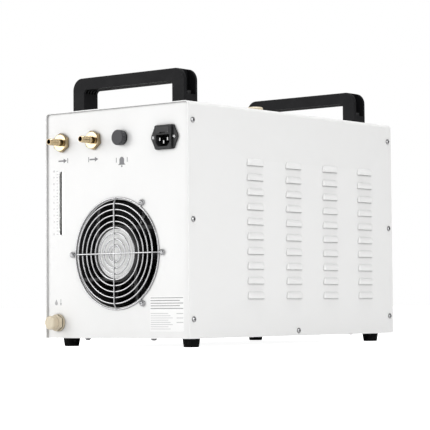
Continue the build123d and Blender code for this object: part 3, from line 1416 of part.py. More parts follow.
def return_hose():
    """From the inlet fitting to the radiator's upper end."""
    left, _, y = radiator_ends()
    start = spigot_tip(INLET_X)
    top = tube_rows()[-1] + RADIATOR_STUB
    points = [
        start,
        (INLET_X, start[1] + RETURN_STRAIGHT, start[2]),
        (left, y, start[2]),
        (left, y, top - HOSE_OVERLAP),
    ]
    return hose(points, HOSE_R, SPIGOT_R + HOSE_CLEARANCE, HOSE_BEND)


def radiator_hose():
    """From the radiator's lower end to the tank."""
    left, _, y = radiator_ends()
    port_y, port_z, _ = tank_ports()["return"]
    row = tube_rows()[0]
    points = [
        (left, y + RADIATOR_STUB - HOSE_OVERLAP, row),
        (left, y + RADIATOR_STUB + RADIATOR_STRAIGHT, row),
        ((left + TANK_LEFT) / 2 - RADIATOR_TURN_LEFT, port_y, port_z),
        (TANK_LEFT - SPIGOT_LENGTH + HOSE_OVERLAP, port_y, port_z),
    ]
    return hose(points, HOSE_R, SPIGOT_R + HOSE_CLEARANCE, SHORT_HOSE_BEND)


def suction_hose():
    """From the tank to the pump."""
    port_y, port_z, _ = tank_ports()["suction"]
    end = PUMP_FACE - PUMP_COVER - SPIGOT_LENGTH + HOSE_OVERLAP
    points = [
        (TANK_LEFT - SPIGOT_LENGTH + HOSE_OVERLAP, port_y, port_z),
        (PUMP_X, port_y, port_z),
        (PUMP_X, end, port_z),
    ]
    return hose(points, HOSE_R, SPIGOT_R + HOSE_CLEARANCE, HOSE_BEND)


def supply_hose():
    """From the flow switch to the outlet fitting."""
    y = PUMP_FACE + VOLUTE_DEPTH / 2
    start_z = switch_bottom() + SWITCH_HEIGHT + SWITCH_STUB - HOSE_OVERLAP
    end = spigot_tip(OUTLET_X)
    points = [
        (PUMP_X, y, start_z),
        (PUMP_X, y, end[2]),
        (OUTLET_X, REAR_EDGE + SUPPLY_TURN_Y, end[2]),
        end,
    ]
    return hose(points, HOSE_R, SPIGOT_R + HOSE_CLEARANCE, HOSE_BEND)


def drain_hose():
    """From the tank's lowest port to the drain fitting."""
    port_y, port_z, _ = tank_ports()["drain"]
    start_y = DRAIN_THREAD_END + SPIGOT_LENGTH - HOSE_OVERLAP
    points = [
        (DRAIN_X, start_y, port_z),
        (DRAIN_X, port_y, port_z),
        (TANK_LEFT - SPIGOT_LENGTH + HOSE_OVERLAP, port_y, port_z),
    ]
    return hose(points, HOSE_R, SPIGOT_R + HOSE_CLEARANCE, HOSE_BEND)


def gauge_hoses():
    """From the sight tube's elbows to the tank."""
    start_y = gauge_y() + GAUGE_ELBOW_R + SPIGOT_LENGTH - HOSE_OVERLAP
    hoses = []
    for name in ("gauge_low", "gauge_high"):
        port_y, port_z, radius = tank_ports()[name]
        points = [
            (GAUGE_X, start_y, port_z),
            (GAUGE_X, port_y, port_z),
            (TANK_LEFT - SPIGOT_LENGTH + HOSE_OVERLAP, port_y, port_z),
        ]
        hoses.append(hose(points, SMALL_HOSE_R, radius + HOSE_CLEARANCE, SMALL_HOSE_BEND))
    return Compound(children=hoses)


# Front panel pieces

def display_bezel():
    """The display's housing: flange on the panel, open window, walls behind."""
    place = Pos(DISPLAY_X, CASE_BOTTOM + DISPLAY_Z)
    front = FRONT_FACE + DISPLAY_FLANGE
    back = FRONT_BACK - DISPLAY_DEPTH
    body = along_y(place * RectangleRounded(DISPLAY_WIDTH, DISPLAY_HEIGHT, 3), FRONT_FACE, front)
    body += along_y(place * Rectangle(DISPLAY_BODY_WIDTH, DISPLAY_BODY_HEIGHT), back, FRONT_FACE)
    hollow = Rectangle(DISPLAY_BODY_WIDTH - 2 * DISPLAY_WALL, DISPLAY_BODY_HEIGHT - 2 * DISPLAY_WALL)
    body -= along_y(place * hollow, back - 1, FRONT_BACK)
    window = RectangleRounded(WINDOW_WIDTH - 4, WINDOW_HEIGHT - 4, 2)
    body -= along_y(place * window, FRONT_BACK - 1, front + 1)
    seat = RectangleRounded(WINDOW_WIDTH, WINDOW_HEIGHT, 2)
    return body - along_y(place * seat, front - WINDOW_THICKNESS - 0.4, front + 1)


def display_window():
    """The clear plate in the bezel's seat."""
    seat_y = FRONT_FACE + DISPLAY_FLANGE - WINDOW_THICKNESS - 0.4
    plate = RectangleRounded(WINDOW_WIDTH - 0.4, WINDOW_HEIGHT - 0.4, 2)
    plate = Pos(DISPLAY_X, CASE_BOTTOM + DISPLAY_Z) * plate
    return along_y(plate, seat_y, seat_y + WINDOW_THICKNESS)


def display_board():
    """The display's circuit board with its digit block, inside the housing."""
    place = Pos(DISPLAY_X, CASE_BOTTOM + DISPLAY_Z)
    width = DISPLAY_BODY_WIDTH - 2 * DISPLAY_WALL
    height = DISPLAY_BODY_HEIGHT - 2 * DISPLAY_WALL
    face = FRONT_BACK - 8
    board = along_y(place * Rectangle(width, height), face - BOARD_THICKNESS, face)
    digits = along_y(place * Rectangle(WINDOW_WIDTH - 8, WINDOW_HEIGHT - 6), face, FRONT_BACK)
    parts = along_y(place * Pos(-14, 0) * Rectangle(18, 12), face - BOARD_THICKNESS - 4, face)
    return board + digits + parts


def rocker_pivot():
    """Y and Z of the rocker's pivot."""
    return FRONT_FACE - ROCKER_PIVOT_DEPTH, CASE_BOTTOM + ROCKER_Z


def rocker_sweep_radius():
    """Radius that the rocker's ends sweep about the pivot."""
    return ROCKER_FRAME_HEIGHT / 2 - ROCKER_WALL - 1.5


def power_switch():
    """The power switch's frame and body, with the well that the rocker turns in."""
    y, z = rocker_pivot()
    place = Pos(ROCKER_X, z)
    frame = RectangleRounded(ROCKER_FRAME_WIDTH, ROCKER_FRAME_HEIGHT, 2)
    body = along_y(place * frame, FRONT_FACE, FRONT_FACE + ROCKER_FRAME_FLANGE)
    back = FRONT_FACE - ROCKER_BODY_DEPTH
    body += along_y(place * Rectangle(ROCKER_BODY_WIDTH, ROCKER_BODY_HEIGHT), back, FRONT_FACE)
    well_height = 2 * (rocker_sweep_radius() + ROCKER_GAP)
    well_width = ROCKER_BODY_WIDTH - 2 * ROCKER_WALL
    well_floor = y - ROCKER_PIN_R - 4.5
    well = place * Rectangle(well_width, well_height)
    body -= along_y(well, well_floor, FRONT_FACE + ROCKER_FRAME_FLANGE + 1)
    pin_half = well_width / 2 + 1.2
    body -= rod_x(ROCKER_PIN_R + SHAFT_CLEARANCE, y, z, ROCKER_X - pin_half, ROCKER_X + pin_half)
    for side in (-1, 1):
        tab = place * Pos(side * 5, 0) * Rectangle(0.8, 6.3)
        body += along_y(tab, back - 8, back + 1)
    return body


def power_rocker():
    """The rocker, drawn at its off position, with a pin at each side."""
    y, z = rocker_pivot()
    half_width = ROCKER_BODY_WIDTH / 2 - ROCKER_WALL - ROCKER_GAP
    sweep_radius = rocker_sweep_radius()
    centre = ROCKER_REACH - sweep_radius * math.tan(math.radians(ROCKER_THROW))
    profile = make_face(
        Polyline(
            (-2.5, -6, 0),
            (0, -sweep_radius, 0),
            (ROCKER_REACH, -sweep_radius, 0),
            (centre, 0, 0),
            (ROCKER_REACH, sweep_radius, 0),
            (0, sweep_radius, 0),
            (-2.5, 6, 0),
            close=True,
        )
    )
    profile = profile & Circle(sweep_radius)
    body = along_x(profile, -half_width, half_width)
    body += rod_x(ROCKER_PIN_R, 0, 0, -half_width - ROCKER_GAP - 1, half_width + ROCKER_GAP + 1)
    return Pos(ROCKER_X, y, z) * Rot(-ROCKER_THROW, 0, 0) * body


def power_supply():
    """The closed power supply box, standing on the tray."""
    front = FRONT_BACK - SUPPLY_FRONT_GAP
    plan = Pos(SUPPLY_X, front - SUPPLY_DEPTH / 2) * Rectangle(SUPPLY_WIDTH, SUPPLY_DEPTH)
    body = along_z(plan, TRAY_TOP, TRAY_TOP + SUPPLY_HEIGHT)
    return chamfer(body.edges().filter_by(Axis.Y).group_by(Axis.Z)[-1], 1.5)


def build():
    """Every node, by name."""
    rear_middle, front_middle = handle_middles()
    nodes = {
        "cover": cover(),
        "base_tray": base_tray(),
        "rear_panel": rear_panel(),
        "front_panel": front_panel(),
        "cover_screws": cover_screws(),
        "base_screws": base_screws(),
        "foot_screws": foot_screws(),
        "rear_handle": handle(rear_middle),
        "front_handle": handle(front_middle),
        "handle_bolts": handle_bolts(),
        "handle_nuts": handle_nuts(),
        "inlet_fitting": hose_fitting(INLET_X, 0),
        "outlet_fitting": hose_fitting(OUTLET_X, OUTLET_HEX_TURN),
        "fitting_nuts": fitting_nuts(),
        "alarm_socket": alarm_socket(),
        "alarm_cap": alarm_cap(),
        "mains_inlet": mains_inlet(),
        "mains_pins": mains_pins(),
        "mains_screws": mains_screws(),
        "fuse_drawer": fuse_drawer(),
        "fuse": fuse(),
        "gauge_tube": gauge_tube(),
        "gauge_elbows": gauge_elbows(),
        "drain_fitting": drain_fitting(),
        "drain_nut": drain_nut(),
        "drain_cap": drain_cap(),
        "fan_guard": fan_guard(),
        "guard_screws": guard_screws(),
        "fan_frame": fan_frame(),
        "fan_bearings": fan_bearings(),
        "fan_stator": fan_stator(),
        "fan_rotor": fan_rotor(),
        "fan_shaft": fan_shaft(),
        "radiator_core": radiator_core(),
        "radiator_tube": radiator_tube(),
        "radiator_shroud": radiator_shroud(),
        "water_tank": water_tank(),
        "tank_lid": tank_lid(),
        "filler_neck": filler_neck(),
        "filler_cap": filler_cap(),
        "pump_body": pump_body(),
        "pump_cover": pump_cover(),
        "pump_impeller": pump_impeller(),
        "flow_switch": flow_switch(),
        "return_hose": return_hose(),
        "radiator_hose": radiator_hose(),
        "suction_hose": suction_hose(),
        "supply_hose": supply_hose(),
        "drain_hose": drain_hose(),
        "gauge_hoses": gauge_hoses(),
        "display_bezel": display_bezel(),
        "display_window": display_window(),
        "display_board": display_board(),
        "power_switch": power_switch(),
        "power_rocker": power_rocker(),
        "power_supply": power_supply(),
    }
    for name, (x, y) in foot_places().items():
        nodes[name] = foot(x, y)
    return nodes


os.makedirs("parts", exist_ok=True)
for node_name, solid in build().items():
    export_step(solid, f"parts/{node_name}.step")
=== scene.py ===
import json
import math

import bmesh
import bpy
from mathutils import Matrix, Vector


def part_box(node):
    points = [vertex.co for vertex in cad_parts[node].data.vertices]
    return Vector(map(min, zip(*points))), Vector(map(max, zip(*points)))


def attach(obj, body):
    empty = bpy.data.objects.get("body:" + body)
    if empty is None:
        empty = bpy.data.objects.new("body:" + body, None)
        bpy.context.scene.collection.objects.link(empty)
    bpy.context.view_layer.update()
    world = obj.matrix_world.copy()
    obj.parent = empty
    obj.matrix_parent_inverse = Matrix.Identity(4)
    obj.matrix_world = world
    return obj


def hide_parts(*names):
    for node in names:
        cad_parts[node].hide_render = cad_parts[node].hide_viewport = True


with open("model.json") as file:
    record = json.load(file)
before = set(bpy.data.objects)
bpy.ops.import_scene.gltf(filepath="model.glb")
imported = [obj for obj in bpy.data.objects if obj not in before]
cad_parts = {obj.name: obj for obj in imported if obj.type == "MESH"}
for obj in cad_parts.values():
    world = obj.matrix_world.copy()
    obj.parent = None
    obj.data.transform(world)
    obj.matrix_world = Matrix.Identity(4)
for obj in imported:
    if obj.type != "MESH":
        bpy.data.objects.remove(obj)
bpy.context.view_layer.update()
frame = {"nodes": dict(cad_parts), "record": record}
scene = bpy.context.scene

# Places read from the frame, in metres
PANEL_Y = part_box("rear_panel")[0].y
EDGE_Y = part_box("cover")[0].y
CASE_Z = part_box("cover")[0].z
HUB_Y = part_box("fan_frame")[0].y
FAN_LOW, FAN_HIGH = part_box("fan_frame")
FAN_X = (FAN_LOW.x + FAN_HIGH.x) / 2
FAN_Z = (FAN_LOW.z + FAN_HIGH.z) / 2
CORE_LOW, CORE_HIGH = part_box("radiator_core")

# Printed marks on the rear panel, in metres; heights are above the case's lower edge
DECAL = 0.00012
INLET_MARK = (-0.1036, 0.2533)
OUTLET_MARK = (-0.0424, 0.2523)
ALARM_MARK = (0.0108, 0.2470)
DRAIN_MARK = (-0.1123, 0.0506)
MARK_LENGTH = 0.0165
SCALE_X = -0.1145
SCALE_NUMBER_X = -0.1212
SCALE_LOW = 0.1485
SCALE_STEP = 0.00905
SCALE_STEPS = 10
TICK_LENGTH = 0.0032
TICK_WIDTH = 0.0006
NUMBER_SIZE = 0.0038
STICKER_LEFT = 0.0615
STICKER_RIGHT = 0.1232
STICKER_LOW = 0.0095
STICKER_HIGH = 0.0585
STICKER_MARGIN = 0.0015
WIDE_RULES = 5
WIDE_RULE_PITCH = 0.0036
WIDE_RULE_HEIGHT = 0.0009
WIDE_RULE_SHORTER = 0.006
THIN_RULES = 8
THIN_RULE_PITCH = 0.003
THIN_RULE_HEIGHT = 0.0005
THIN_RULE_LENGTH = 0.032
THIN_RULE_STEP = 0.004
THIN_RULES_HIGH = 0.0345
HUB_LABEL_R = 0.0348

# Fins of the radiator
FIN_PITCH = 0.002
FIN_THICKNESS = 0.0003
FIN_HEIGHT = 0.164
END_PLATE = 0.0015
CORE_FOOT = 0.014


# Shader helpers

def new_node(tree, kind, **values):
    made = tree.nodes.new(kind)
    for name, value in values.items():
        if hasattr(made, name):
            setattr(made, name, value)
        else:
            made.inputs[name.replace("_", " ")].default_value = value
    return made


def group(name, inputs, outputs):
    """A shader group with float inputs and the named outputs."""
    tree = bpy.data.node_groups.new(name, "ShaderNodeTree")
    for label, value in inputs:
        socket = tree.interface.new_socket(label, in_out="INPUT", socket_type="NodeSocketFloat")
        socket.default_value = value
    for label, kind in outputs:
        tree.interface.new_socket(label, in_out="OUTPUT", socket_type=kind)
    return tree, tree.nodes.new("NodeGroupInput"), tree.nodes.new("NodeGroupOutput")


def grain_group():
    """Fine surface texture as a normal, with a patchy mask of the same kind."""
    tree, enter, leave = group(
        "Surface Grain",
        [("Scale", 900.0), ("Depth", 0.00002), ("Strength", 0.4)],
        [("Normal", "NodeSocketVector"), ("Patches", "NodeSocketFloat")],
    )
    where = new_node(tree, "ShaderNodeTexCoord")
    noise = new_node(tree, "ShaderNodeTexNoise", Detail=3.0)
    bump = new_node(tree, "ShaderNodeBump")
    broad = new_node(tree, "ShaderNodeTexNoise", Scale=14.0, Detail=4.0)
    tree.links.new(where.outputs["Object"], noise.inputs["Vector"])
    tree.links.new(where.outputs["Object"], broad.inputs["Vector"])
    tree.links.new(enter.outputs["Scale"], noise.inputs["Scale"])
    tree.links.new(enter.outputs["Depth"], bump.inputs["Distance"])
    tree.links.new(enter.outputs["Strength"], bump.inputs["Strength"])
    tree.links.new(noise.outputs["Fac"], bump.inputs["Height"])
    tree.links.new(bump.outputs["Normal"], leave.inputs["Normal"])
    tree.links.new(broad.outputs["Fac"], leave.inputs["Patches"])
    return tree


def wear_group():
    """Masks for scuffed edges, settled dust and painted shade in corners, creases and recesses."""
    tree, enter, leave = group(
        "Wear and Painted Shade",
        [("Edge", 0.5), ("Dust", 0.3), ("Reach", 0.0045)],
        [("Edges", "NodeSocketFloat"), ("Dusty", "NodeSocketFloat"), ("Corners", "NodeSocketFloat")],
    )
    shape = new_node(tree, "ShaderNodeNewGeometry")
    where = new_node(tree, "ShaderNodeTexCoord")
    noise = new_node(tree, "ShaderNodeTexNoise", Scale=60.0, Detail=5.0)
    ramp = new_node(tree, "ShaderNodeMapRange", From_Min=0.52, From_Max=0.62)
    breakup = new_node(tree, "ShaderNodeMath", operation="MULTIPLY")
    edge = new_node(tree, "ShaderNodeMath", operation="MULTIPLY")
    split = new_node(tree, "ShaderNodeSeparateXYZ")
    upward = new_node(tree, "ShaderNodeMapRange", From_Min=0.3, From_Max=1.0)
    settle = new_node(tree, "ShaderNodeMath", operation="MULTIPLY")
    dust = new_node(tree, "ShaderNodeMath", operation="MULTIPLY")
    # Painted shade: ambient occlusion within the reach darkens corners, creases and recesses where shade
    # falls
    corner = new_node(tree, "ShaderNodeAmbientOcclusion", samples=8)
    deep = new_node(tree, "ShaderNodeMapRange", From_Min=0.9, From_Max=0.35)
    tree.links.new(where.outputs["Object"], noise.inputs["Vector"])
    tree.links.new(shape.outputs["Pointiness"], ramp.inputs["Value"])
    tree.links.new(ramp.outputs["Result"], breakup.inputs[0])
    tree.links.new(noise.outputs["Fac"], breakup.inputs[1])
    tree.links.new(breakup.outputs[0], edge.inputs[0])
    tree.links.new(enter.outputs["Edge"], edge.inputs[1])
    tree.links.new(edge.outputs[0], leave.inputs["Edges"])
    tree.links.new(shape.outputs["Normal"], split.inputs["Vector"])
    tree.links.new(split.outputs["Z"], upward.inputs["Value"])
    tree.links.new(upward.outputs["Result"], settle.inputs[0])
    tree.links.new(noise.outputs["Fac"], settle.inputs[1])
    tree.links.new(settle.outputs[0], dust.inputs[0])
    tree.links.new(enter.outputs["Dust"], dust.inputs[1])
    tree.links.new(dust.outputs[0], leave.inputs["Dusty"])
    tree.links.new(enter.outputs["Reach"], corner.inputs["Distance"])
    tree.links.new(corner.outputs["AO"], deep.inputs["Value"])
    tree.links.new(deep.outputs["Result"], leave.inputs["Corners"])
    return tree


GRAIN = grain_group()
WEAR_AND_SHADE = wear_group()


def finish_material(name, colour, edge_wear_and_shade_colour, rough, metallic=0.0, grain=900.0, depth=0.00002, strength=0.4,
                    edge=0.5, dust=0.3, coat=0.0, spread=0.08, gloss=0.5, shade=0.6):
    """A surface with grain, scuffed edges, dust, painted shade in corners and an uneven roughness."""
    made = bpy.data.materials.new(name)
    made.use_nodes = True
    tree = made.node_tree
    shader = tree.nodes["Principled BSDF"]
    shader.inputs["Metallic"].default_value = metallic
    shader.inputs["Coat Weight"].default_value = coat
    shader.inputs["Coat Roughness"].default_value = 0.12
    shader.inputs["Specular IOR Level"].default_value = gloss
    skin = new_node(tree, "ShaderNodeGroup", node_tree=GRAIN)
    skin.inputs["Scale"].default_value = grain
    skin.inputs["Depth"].default_value = depth
    skin.inputs["Strength"].default_value = strength
    wear_and_shade = new_node(tree, "ShaderNodeGroup", node_tree=WEAR_AND_SHADE)
    wear_and_shade.inputs["Edge"].default_value = edge
    wear_and_shade.inputs["Dust"].default_value = dust
    # Edge colour: scuffs on most finishes, and painted shade on the brass and the off-white plastic
    edge_wear_and_shade = new_node(tree, "ShaderNodeMix", data_type="RGBA")
    edge_wear_and_shade.inputs["A"].default_value = (*colour, 1)
    edge_wear_and_shade.inputs["B"].default_value = (*edge_wear_and_shade_colour, 1)
    dusty = new_node(tree, "ShaderNodeMix", data_type="RGBA")
    dusty.inputs["B"].default_value = (0.55, 0.54, 0.52, 1)
    # Painted shade: the corner mask, times the shade amount, mixes the colour towards 0.18 of itself
    painted_shade_amount = new_node(tree, "ShaderNodeMath", operation="MULTIPLY")
    painted_shade_amount.inputs[1].default_value = shade
    shaded = new_node(tree, "ShaderNodeMix", data_type="RGBA")
    shaded.inputs["B"].default_value = (*(0.18 * part for part in colour), 1)
    uneven = new_node(tree, "ShaderNodeMapRange", To_Min=max(rough - spread, 0.02), To_Max=rough + spread)
    tree.links.new(wear_and_shade.outputs["Edges"], edge_wear_and_shade.inputs["Factor"])
    tree.links.new(edge_wear_and_shade.outputs["Result"], dusty.inputs["A"])
    tree.links.new(wear_and_shade.outputs["Dusty"], dusty.inputs["Factor"])
    tree.links.new(wear_and_shade.outputs["Corners"], painted_shade_amount.inputs[0])
    tree.links.new(painted_shade_amount.outputs[0], shaded.inputs["Factor"])
    tree.links.new(dusty.outputs["Result"], shaded.inputs["A"])
    tree.links.new(shaded.outputs["Result"], shader.inputs["Base Color"])
    tree.links.new(skin.outputs["Patches"], uneven.inputs["Value"])
    tree.links.new(uneven.outputs["Result"], shader.inputs["Roughness"])
    tree.links.new(skin.outputs["Normal"], shader.inputs["Normal"])
    return made


def clear_material(name, tint, rough, clearness=1.0, lift=0.0):
    """A clear or milky plastic; the lift is a painted glow, light given off by the plastic though it is no
    lamp.
    """
    made = finish_material(name, tint, tint, rough, edge=0.0, dust=0.0, strength=0.1, shade=0.0)
    shader = made.node_tree.nodes["Principled BSDF"]
    shader.inputs["Transmission Weight"].default_value = clearness
    shader.inputs["IOR"].default_value = 1.49
    # Painted light: emission in the tint's colour, as strong as the lift
    shader.inputs["Emission Color"].default_value = (*tint, 1)
    shader.inputs["Emission Strength"].default_value = lift
    return made


MATERIALS = {
    "case_paint": finish_material("case_paint", (0.86, 0.86, 0.855), (0.8, 0.8, 0.79), 0.42, grain=1400.0,
                                  depth=0.00003, strength=0.25, edge=0.3, dust=0.06, coat=0.15, shade=0.65),
    "zinc_sheet": finish_material("zinc_sheet", (0.6, 0.61, 0.62), (0.5, 0.5, 0.5), 0.38, 1.0, grain=500.0),
    "supply_metal": finish_material("supply_metal", (0.55, 0.56, 0.57), (0.5, 0.5, 0.5), 0.42, 1.0,
                                    grain=700.0),
    "bright_steel": finish_material("bright_steel", (0.4, 0.4, 0.41), (0.55, 0.55, 0.55), 0.24, 1.0,
                                    grain=1800.0,
                                    dust=0.02, shade=1.0),
    "black_steel": finish_material("black_steel", (0.01, 0.01, 0.011), (0.05, 0.05, 0.05), 0.4, grain=1600.0,
                                   dust=0.02, gloss=0.15),
    "chrome_wire": finish_material("chrome_wire", (0.5, 0.5, 0.51), (0.6, 0.6, 0.6), 0.14, 1.0, grain=1200.0,
                                   strength=0.1, edge=0.2, dust=0.02, spread=0.04, shade=0.3),
    # Brass: its second colour paints the edges and barb ridges dark bronze, a painted shade standing in for
    # the dark reflections there
    "brass": finish_material("brass", (0.6, 0.475, 0.29), (0.2, 0.14, 0.08), 0.18, 1.0, grain=1500.0,
                             dust=0.02,
                             edge=1.6, spread=0.05, shade=0.95),
    "copper": finish_material("copper", (0.72, 0.4, 0.26), (0.5, 0.26, 0.16), 0.3, 1.0, grain=900.0),
    "black_plastic": finish_material("black_plastic", (0.005, 0.005, 0.006), (0.03, 0.03, 0.031), 0.55,
                                     grain=1500.0, depth=0.00005, strength=0.5, dust=0.015, gloss=0.1),
    "dark_plastic": finish_material("dark_plastic", (0.045, 0.045, 0.05), (0.1, 0.1, 0.1), 0.42,
                                    grain=1200.0,
                                    dust=0.03, gloss=0.25),
    # Off-white plastic: its second colour paints the edges a darker brown, a painted shade standing in for
    # the shaded sides of the drain cap
    "off_white_plastic": finish_material("off_white_plastic", (0.7, 0.62, 0.47), (0.4, 0.28, 0.15), 0.34,
                                         grain=1000.0, strength=0.2, edge=0.8, dust=0.04, coat=0.1,
                                         shade=0.8),
    "switch_plastic": finish_material("switch_plastic", (0.012, 0.012, 0.013), (0.05, 0.05, 0.05), 0.22,
                                      grain=1200.0, strength=0.1, dust=0.02, gloss=0.3),
    "tank_plastic": finish_material("tank_plastic", (0.75, 0.77, 0.75), (0.7, 0.7, 0.68), 0.45, grain=700.0),
    "fan_metal": finish_material("fan_metal", (0.012, 0.012, 0.013), (0.12, 0.12, 0.12), 0.48, grain=900.0,
                                 depth=0.00006, strength=0.5, dust=0.03, gloss=0.25),
    "fan_plastic": finish_material("fan_plastic", (0.008, 0.008, 0.009), (0.05, 0.05, 0.05), 0.4,
                                   grain=900.0,
                                   dust=0.02, gloss=0.2),
    "fin_metal": finish_material("fin_metal", (0.7, 0.71, 0.72), (0.5, 0.5, 0.5), 0.32, 1.0, grain=600.0),
    "pump_paint": finish_material("pump_paint", (0.03, 0.03, 0.033), (0.25, 0.25, 0.25), 0.4, grain=800.0),
    "rubber": finish_material("rubber", (0.006, 0.006, 0.006), (0.02, 0.02, 0.02), 0.7, grain=700.0,
                              depth=0.00008, strength=0.6, dust=0.05, gloss=0.1),
    "hose": finish_material("hose", (0.42, 0.44, 0.43), (0.3, 0.3, 0.3), 0.45, grain=600.0),
    "board": finish_material("board", (0.02, 0.11, 0.05), (0.1, 0.2, 0.1), 0.4, grain=800.0),
    "clear_glass": clear_material("clear_glass", (0.9, 0.92, 0.92), 0.08),
}

# Pieces whose finish differs a little from the rest of their slot
INLET_PLASTIC = finish_material("inlet_plastic", (0.032, 0.032, 0.034), (0.08, 0.08, 0.08), 0.5,
                                grain=1500.0,
                                depth=0.00005, strength=0.5, dust=0.02, gloss=0.2, shade=1.0)
OWN_FINISH = {
    # The gauge tube gets a painted glow of 0.8 that brightens it
    "gauge_tube": clear_material("gauge_plastic", (0.93, 0.94, 0.93), 0.12, clearness=0.3, lift=0.8),
    "mains_inlet": INLET_PLASTIC,
    "fuse_drawer": INLET_PLASTIC,
    "mains_pins": finish_material("pin_metal", (0.12, 0.12, 0.12), (0.5, 0.5, 0.5), 0.25, 1.0, dust=0.0,
                                  shade=1.0),
}

for part in frame["record"]["subparts"]:
    shown = frame["nodes"][part["node"]]
    shown.data.materials.clear()
    shown.data.materials.append(OWN_FINISH.get(part["node"], MATERIALS[part["material_slot"]]))


# Mesh helpers

def show(name, data, material, body="case"):
    """A mesh whose points are in the row frame, riding on one body."""
    made = bpy.data.objects.new(name, data)
    scene.collection.objects.link(made)
    if not data.materials:
        data.materials.append(material)
    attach(made, body)
    return made


def printed(name, faces, material, y, depth=DECAL):
    """Printed marks on a face towards -Y: each face is a list of X and Z, and touching faces are joined."""
    build = bmesh.new()
    for face in faces:
        build.faces.new([build.verts.new((x, y, z)) for x, z in face])
    bmesh.ops.remove_doubles(build, verts=build.verts, dist=0.000001)
    raised = bmesh.ops.extrude_face_region(build, geom=build.faces[:])
    for vert in [part for part in raised["geom"] if isinstance(part, bmesh.types.BMVert)]:
        vert.co.y -= depth
    bmesh.ops.recalc_face_normals(build, faces=build.faces)
    data = bpy.data.meshes.new(name)
    build.to_mesh(data)
    build.free()
    return show(name, data, material)


def bar(x0, z0, x1, z1):
    return [(x0, z0), (x1, z0), (x1, z1), (x0, z1)]


def arc(x, z, radius, first, last, steps):
    """Points on an arc from one angle to another, in degrees."""
    turns = [math.radians(first + (last - first) * i / steps) for i in range(steps + 1)]
    return [(x + radius * math.cos(turn), z + radius * math.sin(turn)) for turn in turns]


def disc(x, z, radius, steps=64):
    return arc(x, z, radius, 0, 360, steps)[:-1]


def ring(x, z, inner, outer, steps=64):
    """A flat ring as quads that share their edges."""
    near = arc(x, z, inner, 0, 360, steps)
    far = arc(x, z, outer, 0, 360, steps)
    return [[near[i], far[i], far[i + 1], near[i + 1]] for i in range(steps)]


def arrow(x, z, length, turn):
    """An arrow centred at a place, turned from pointing along +X."""
    half = length / 2
    head = length * 0.38
    thin = length * 0.06
    wide = length * 0.2
    shape = [(-half, -thin), (half - head, -thin), (half - head, -wide), (half, 0), (half - head, wide),
             (half - head, thin), (-half, thin)]
    c, s = math.cos(turn), math.sin(turn)
    return [(x + u * c - v * s, z + u * s + v * c) for u, v in shape]


def bell(x, z, size):
    """A bell with its clapper, and a short stroke at each side."""
    dome = 0.26 * size
    rim = 0.42 * size
    body = arc(x, z + 0.1 * size, dome, 0, 180, 16)
    body += [(x - dome, z - 0.2 * size), (x - rim, z - 0.32 * size), (x + rim, z - 0.32 * size),
             (x + dome, z - 0.2 * size)]
    strokes = [bar(x + side * 0.62 * size - 0.03 * size, z - 0.1 * size,
                   x + side * 0.62 * size + 0.03 * size,
                   z + 0.3 * size) for side in (-1, 1)]
    return [body, disc(x, z - 0.44 * size, 0.08 * size, 16)] + strokes


def drop(x, z, radius):
    return arc(x, z, radius, -210, 30, 20) + [(x, z + 2.1 * radius)]


def row_group():
    """Geometry nodes: equal boxes along a straight line, made real, with one material."""
    tree = bpy.data.node_groups.new("Row of Boxes", "GeometryNodeTree")
    face = tree.interface
    face.new_socket("Count", in_out="INPUT", socket_type="NodeSocketInt")
    face.new_socket("Start", in_out="INPUT", socket_type="NodeSocketVector")
    face.new_socket("Step", in_out="INPUT", socket_type="NodeSocketVector")
    face.new_socket("Size", in_out="INPUT", socket_type="NodeSocketVector")
    face.new_socket("Material", in_out="INPUT", socket_type="NodeSocketMaterial")
    face.new_socket("Geometry", in_out="OUTPUT", socket_type="NodeSocketGeometry")
    enter = tree.nodes.new("NodeGroupInput")
    leave = tree.nodes.new("NodeGroupOutput")
    line = tree.nodes.new("GeometryNodeMeshLine")
    cube = tree.nodes.new("GeometryNodeMeshCube")
    placed = tree.nodes.new("GeometryNodeInstanceOnPoints")
    real = tree.nodes.new("GeometryNodeRealizeInstances")
    coated = tree.nodes.new("GeometryNodeSetMaterial")
    tree.links.new(enter.outputs["Count"], line.inputs["Count"])
    tree.links.new(enter.outputs["Start"], line.inputs["Start Location"])
    tree.links.new(enter.outputs["Step"], line.inputs["Offset"])
    tree.links.new(enter.outputs["Size"], cube.inputs["Size"])
    tree.links.new(line.outputs["Mesh"], placed.inputs["Points"])
    tree.links.new(cube.outputs["Mesh"], placed.inputs["Instance"])
    tree.links.new(placed.outputs["Instances"], real.inputs["Geometry"])
    tree.links.new(real.outputs["Geometry"], coated.inputs["Geometry"])
    tree.links.new(enter.outputs["Material"], coated.inputs["Material"])
    tree.links.new(coated.outputs["Geometry"], leave.inputs["Geometry"])
    return tree


ROW = row_group()


def row_mesh(name, count, start, step, size, material):
    """The mesh of one row of boxes, without its modifier."""
    made = bpy.data.objects.new(name, bpy.data.meshes.new(name))
    scene.collection.objects.link(made)
    row = made.modifiers.new("Row", "NODES")
    row.node_group = ROW
    values = {"Count": count, "Start": start, "Step": step, "Size": size, "Material": material}
    for item in ROW.interface.items_tree:
        if item.in_out == "INPUT":
            row[item.identifier] = values[item.name]
    made.update_tag()
    bpy.context.view_layer.update()
    solved = made.evaluated_get(bpy.context.evaluated_depsgraph_get())
    data = bpy.data.meshes.new_from_object(solved)
    bpy.data.objects.remove(made)
    data.name = name
    return data


def add_box(build, low, high):
    """A box between two corners, added to a mesh being built."""
    middle = (Vector(low) + Vector(high)) / 2
    size = Vector(high) - Vector(low)
    bmesh.ops.create_cube(build, size=1, matrix=Matrix.Translation(middle) @ Matrix.Diagonal((*size, 1)))


# Radiator: thin fins between two end plates

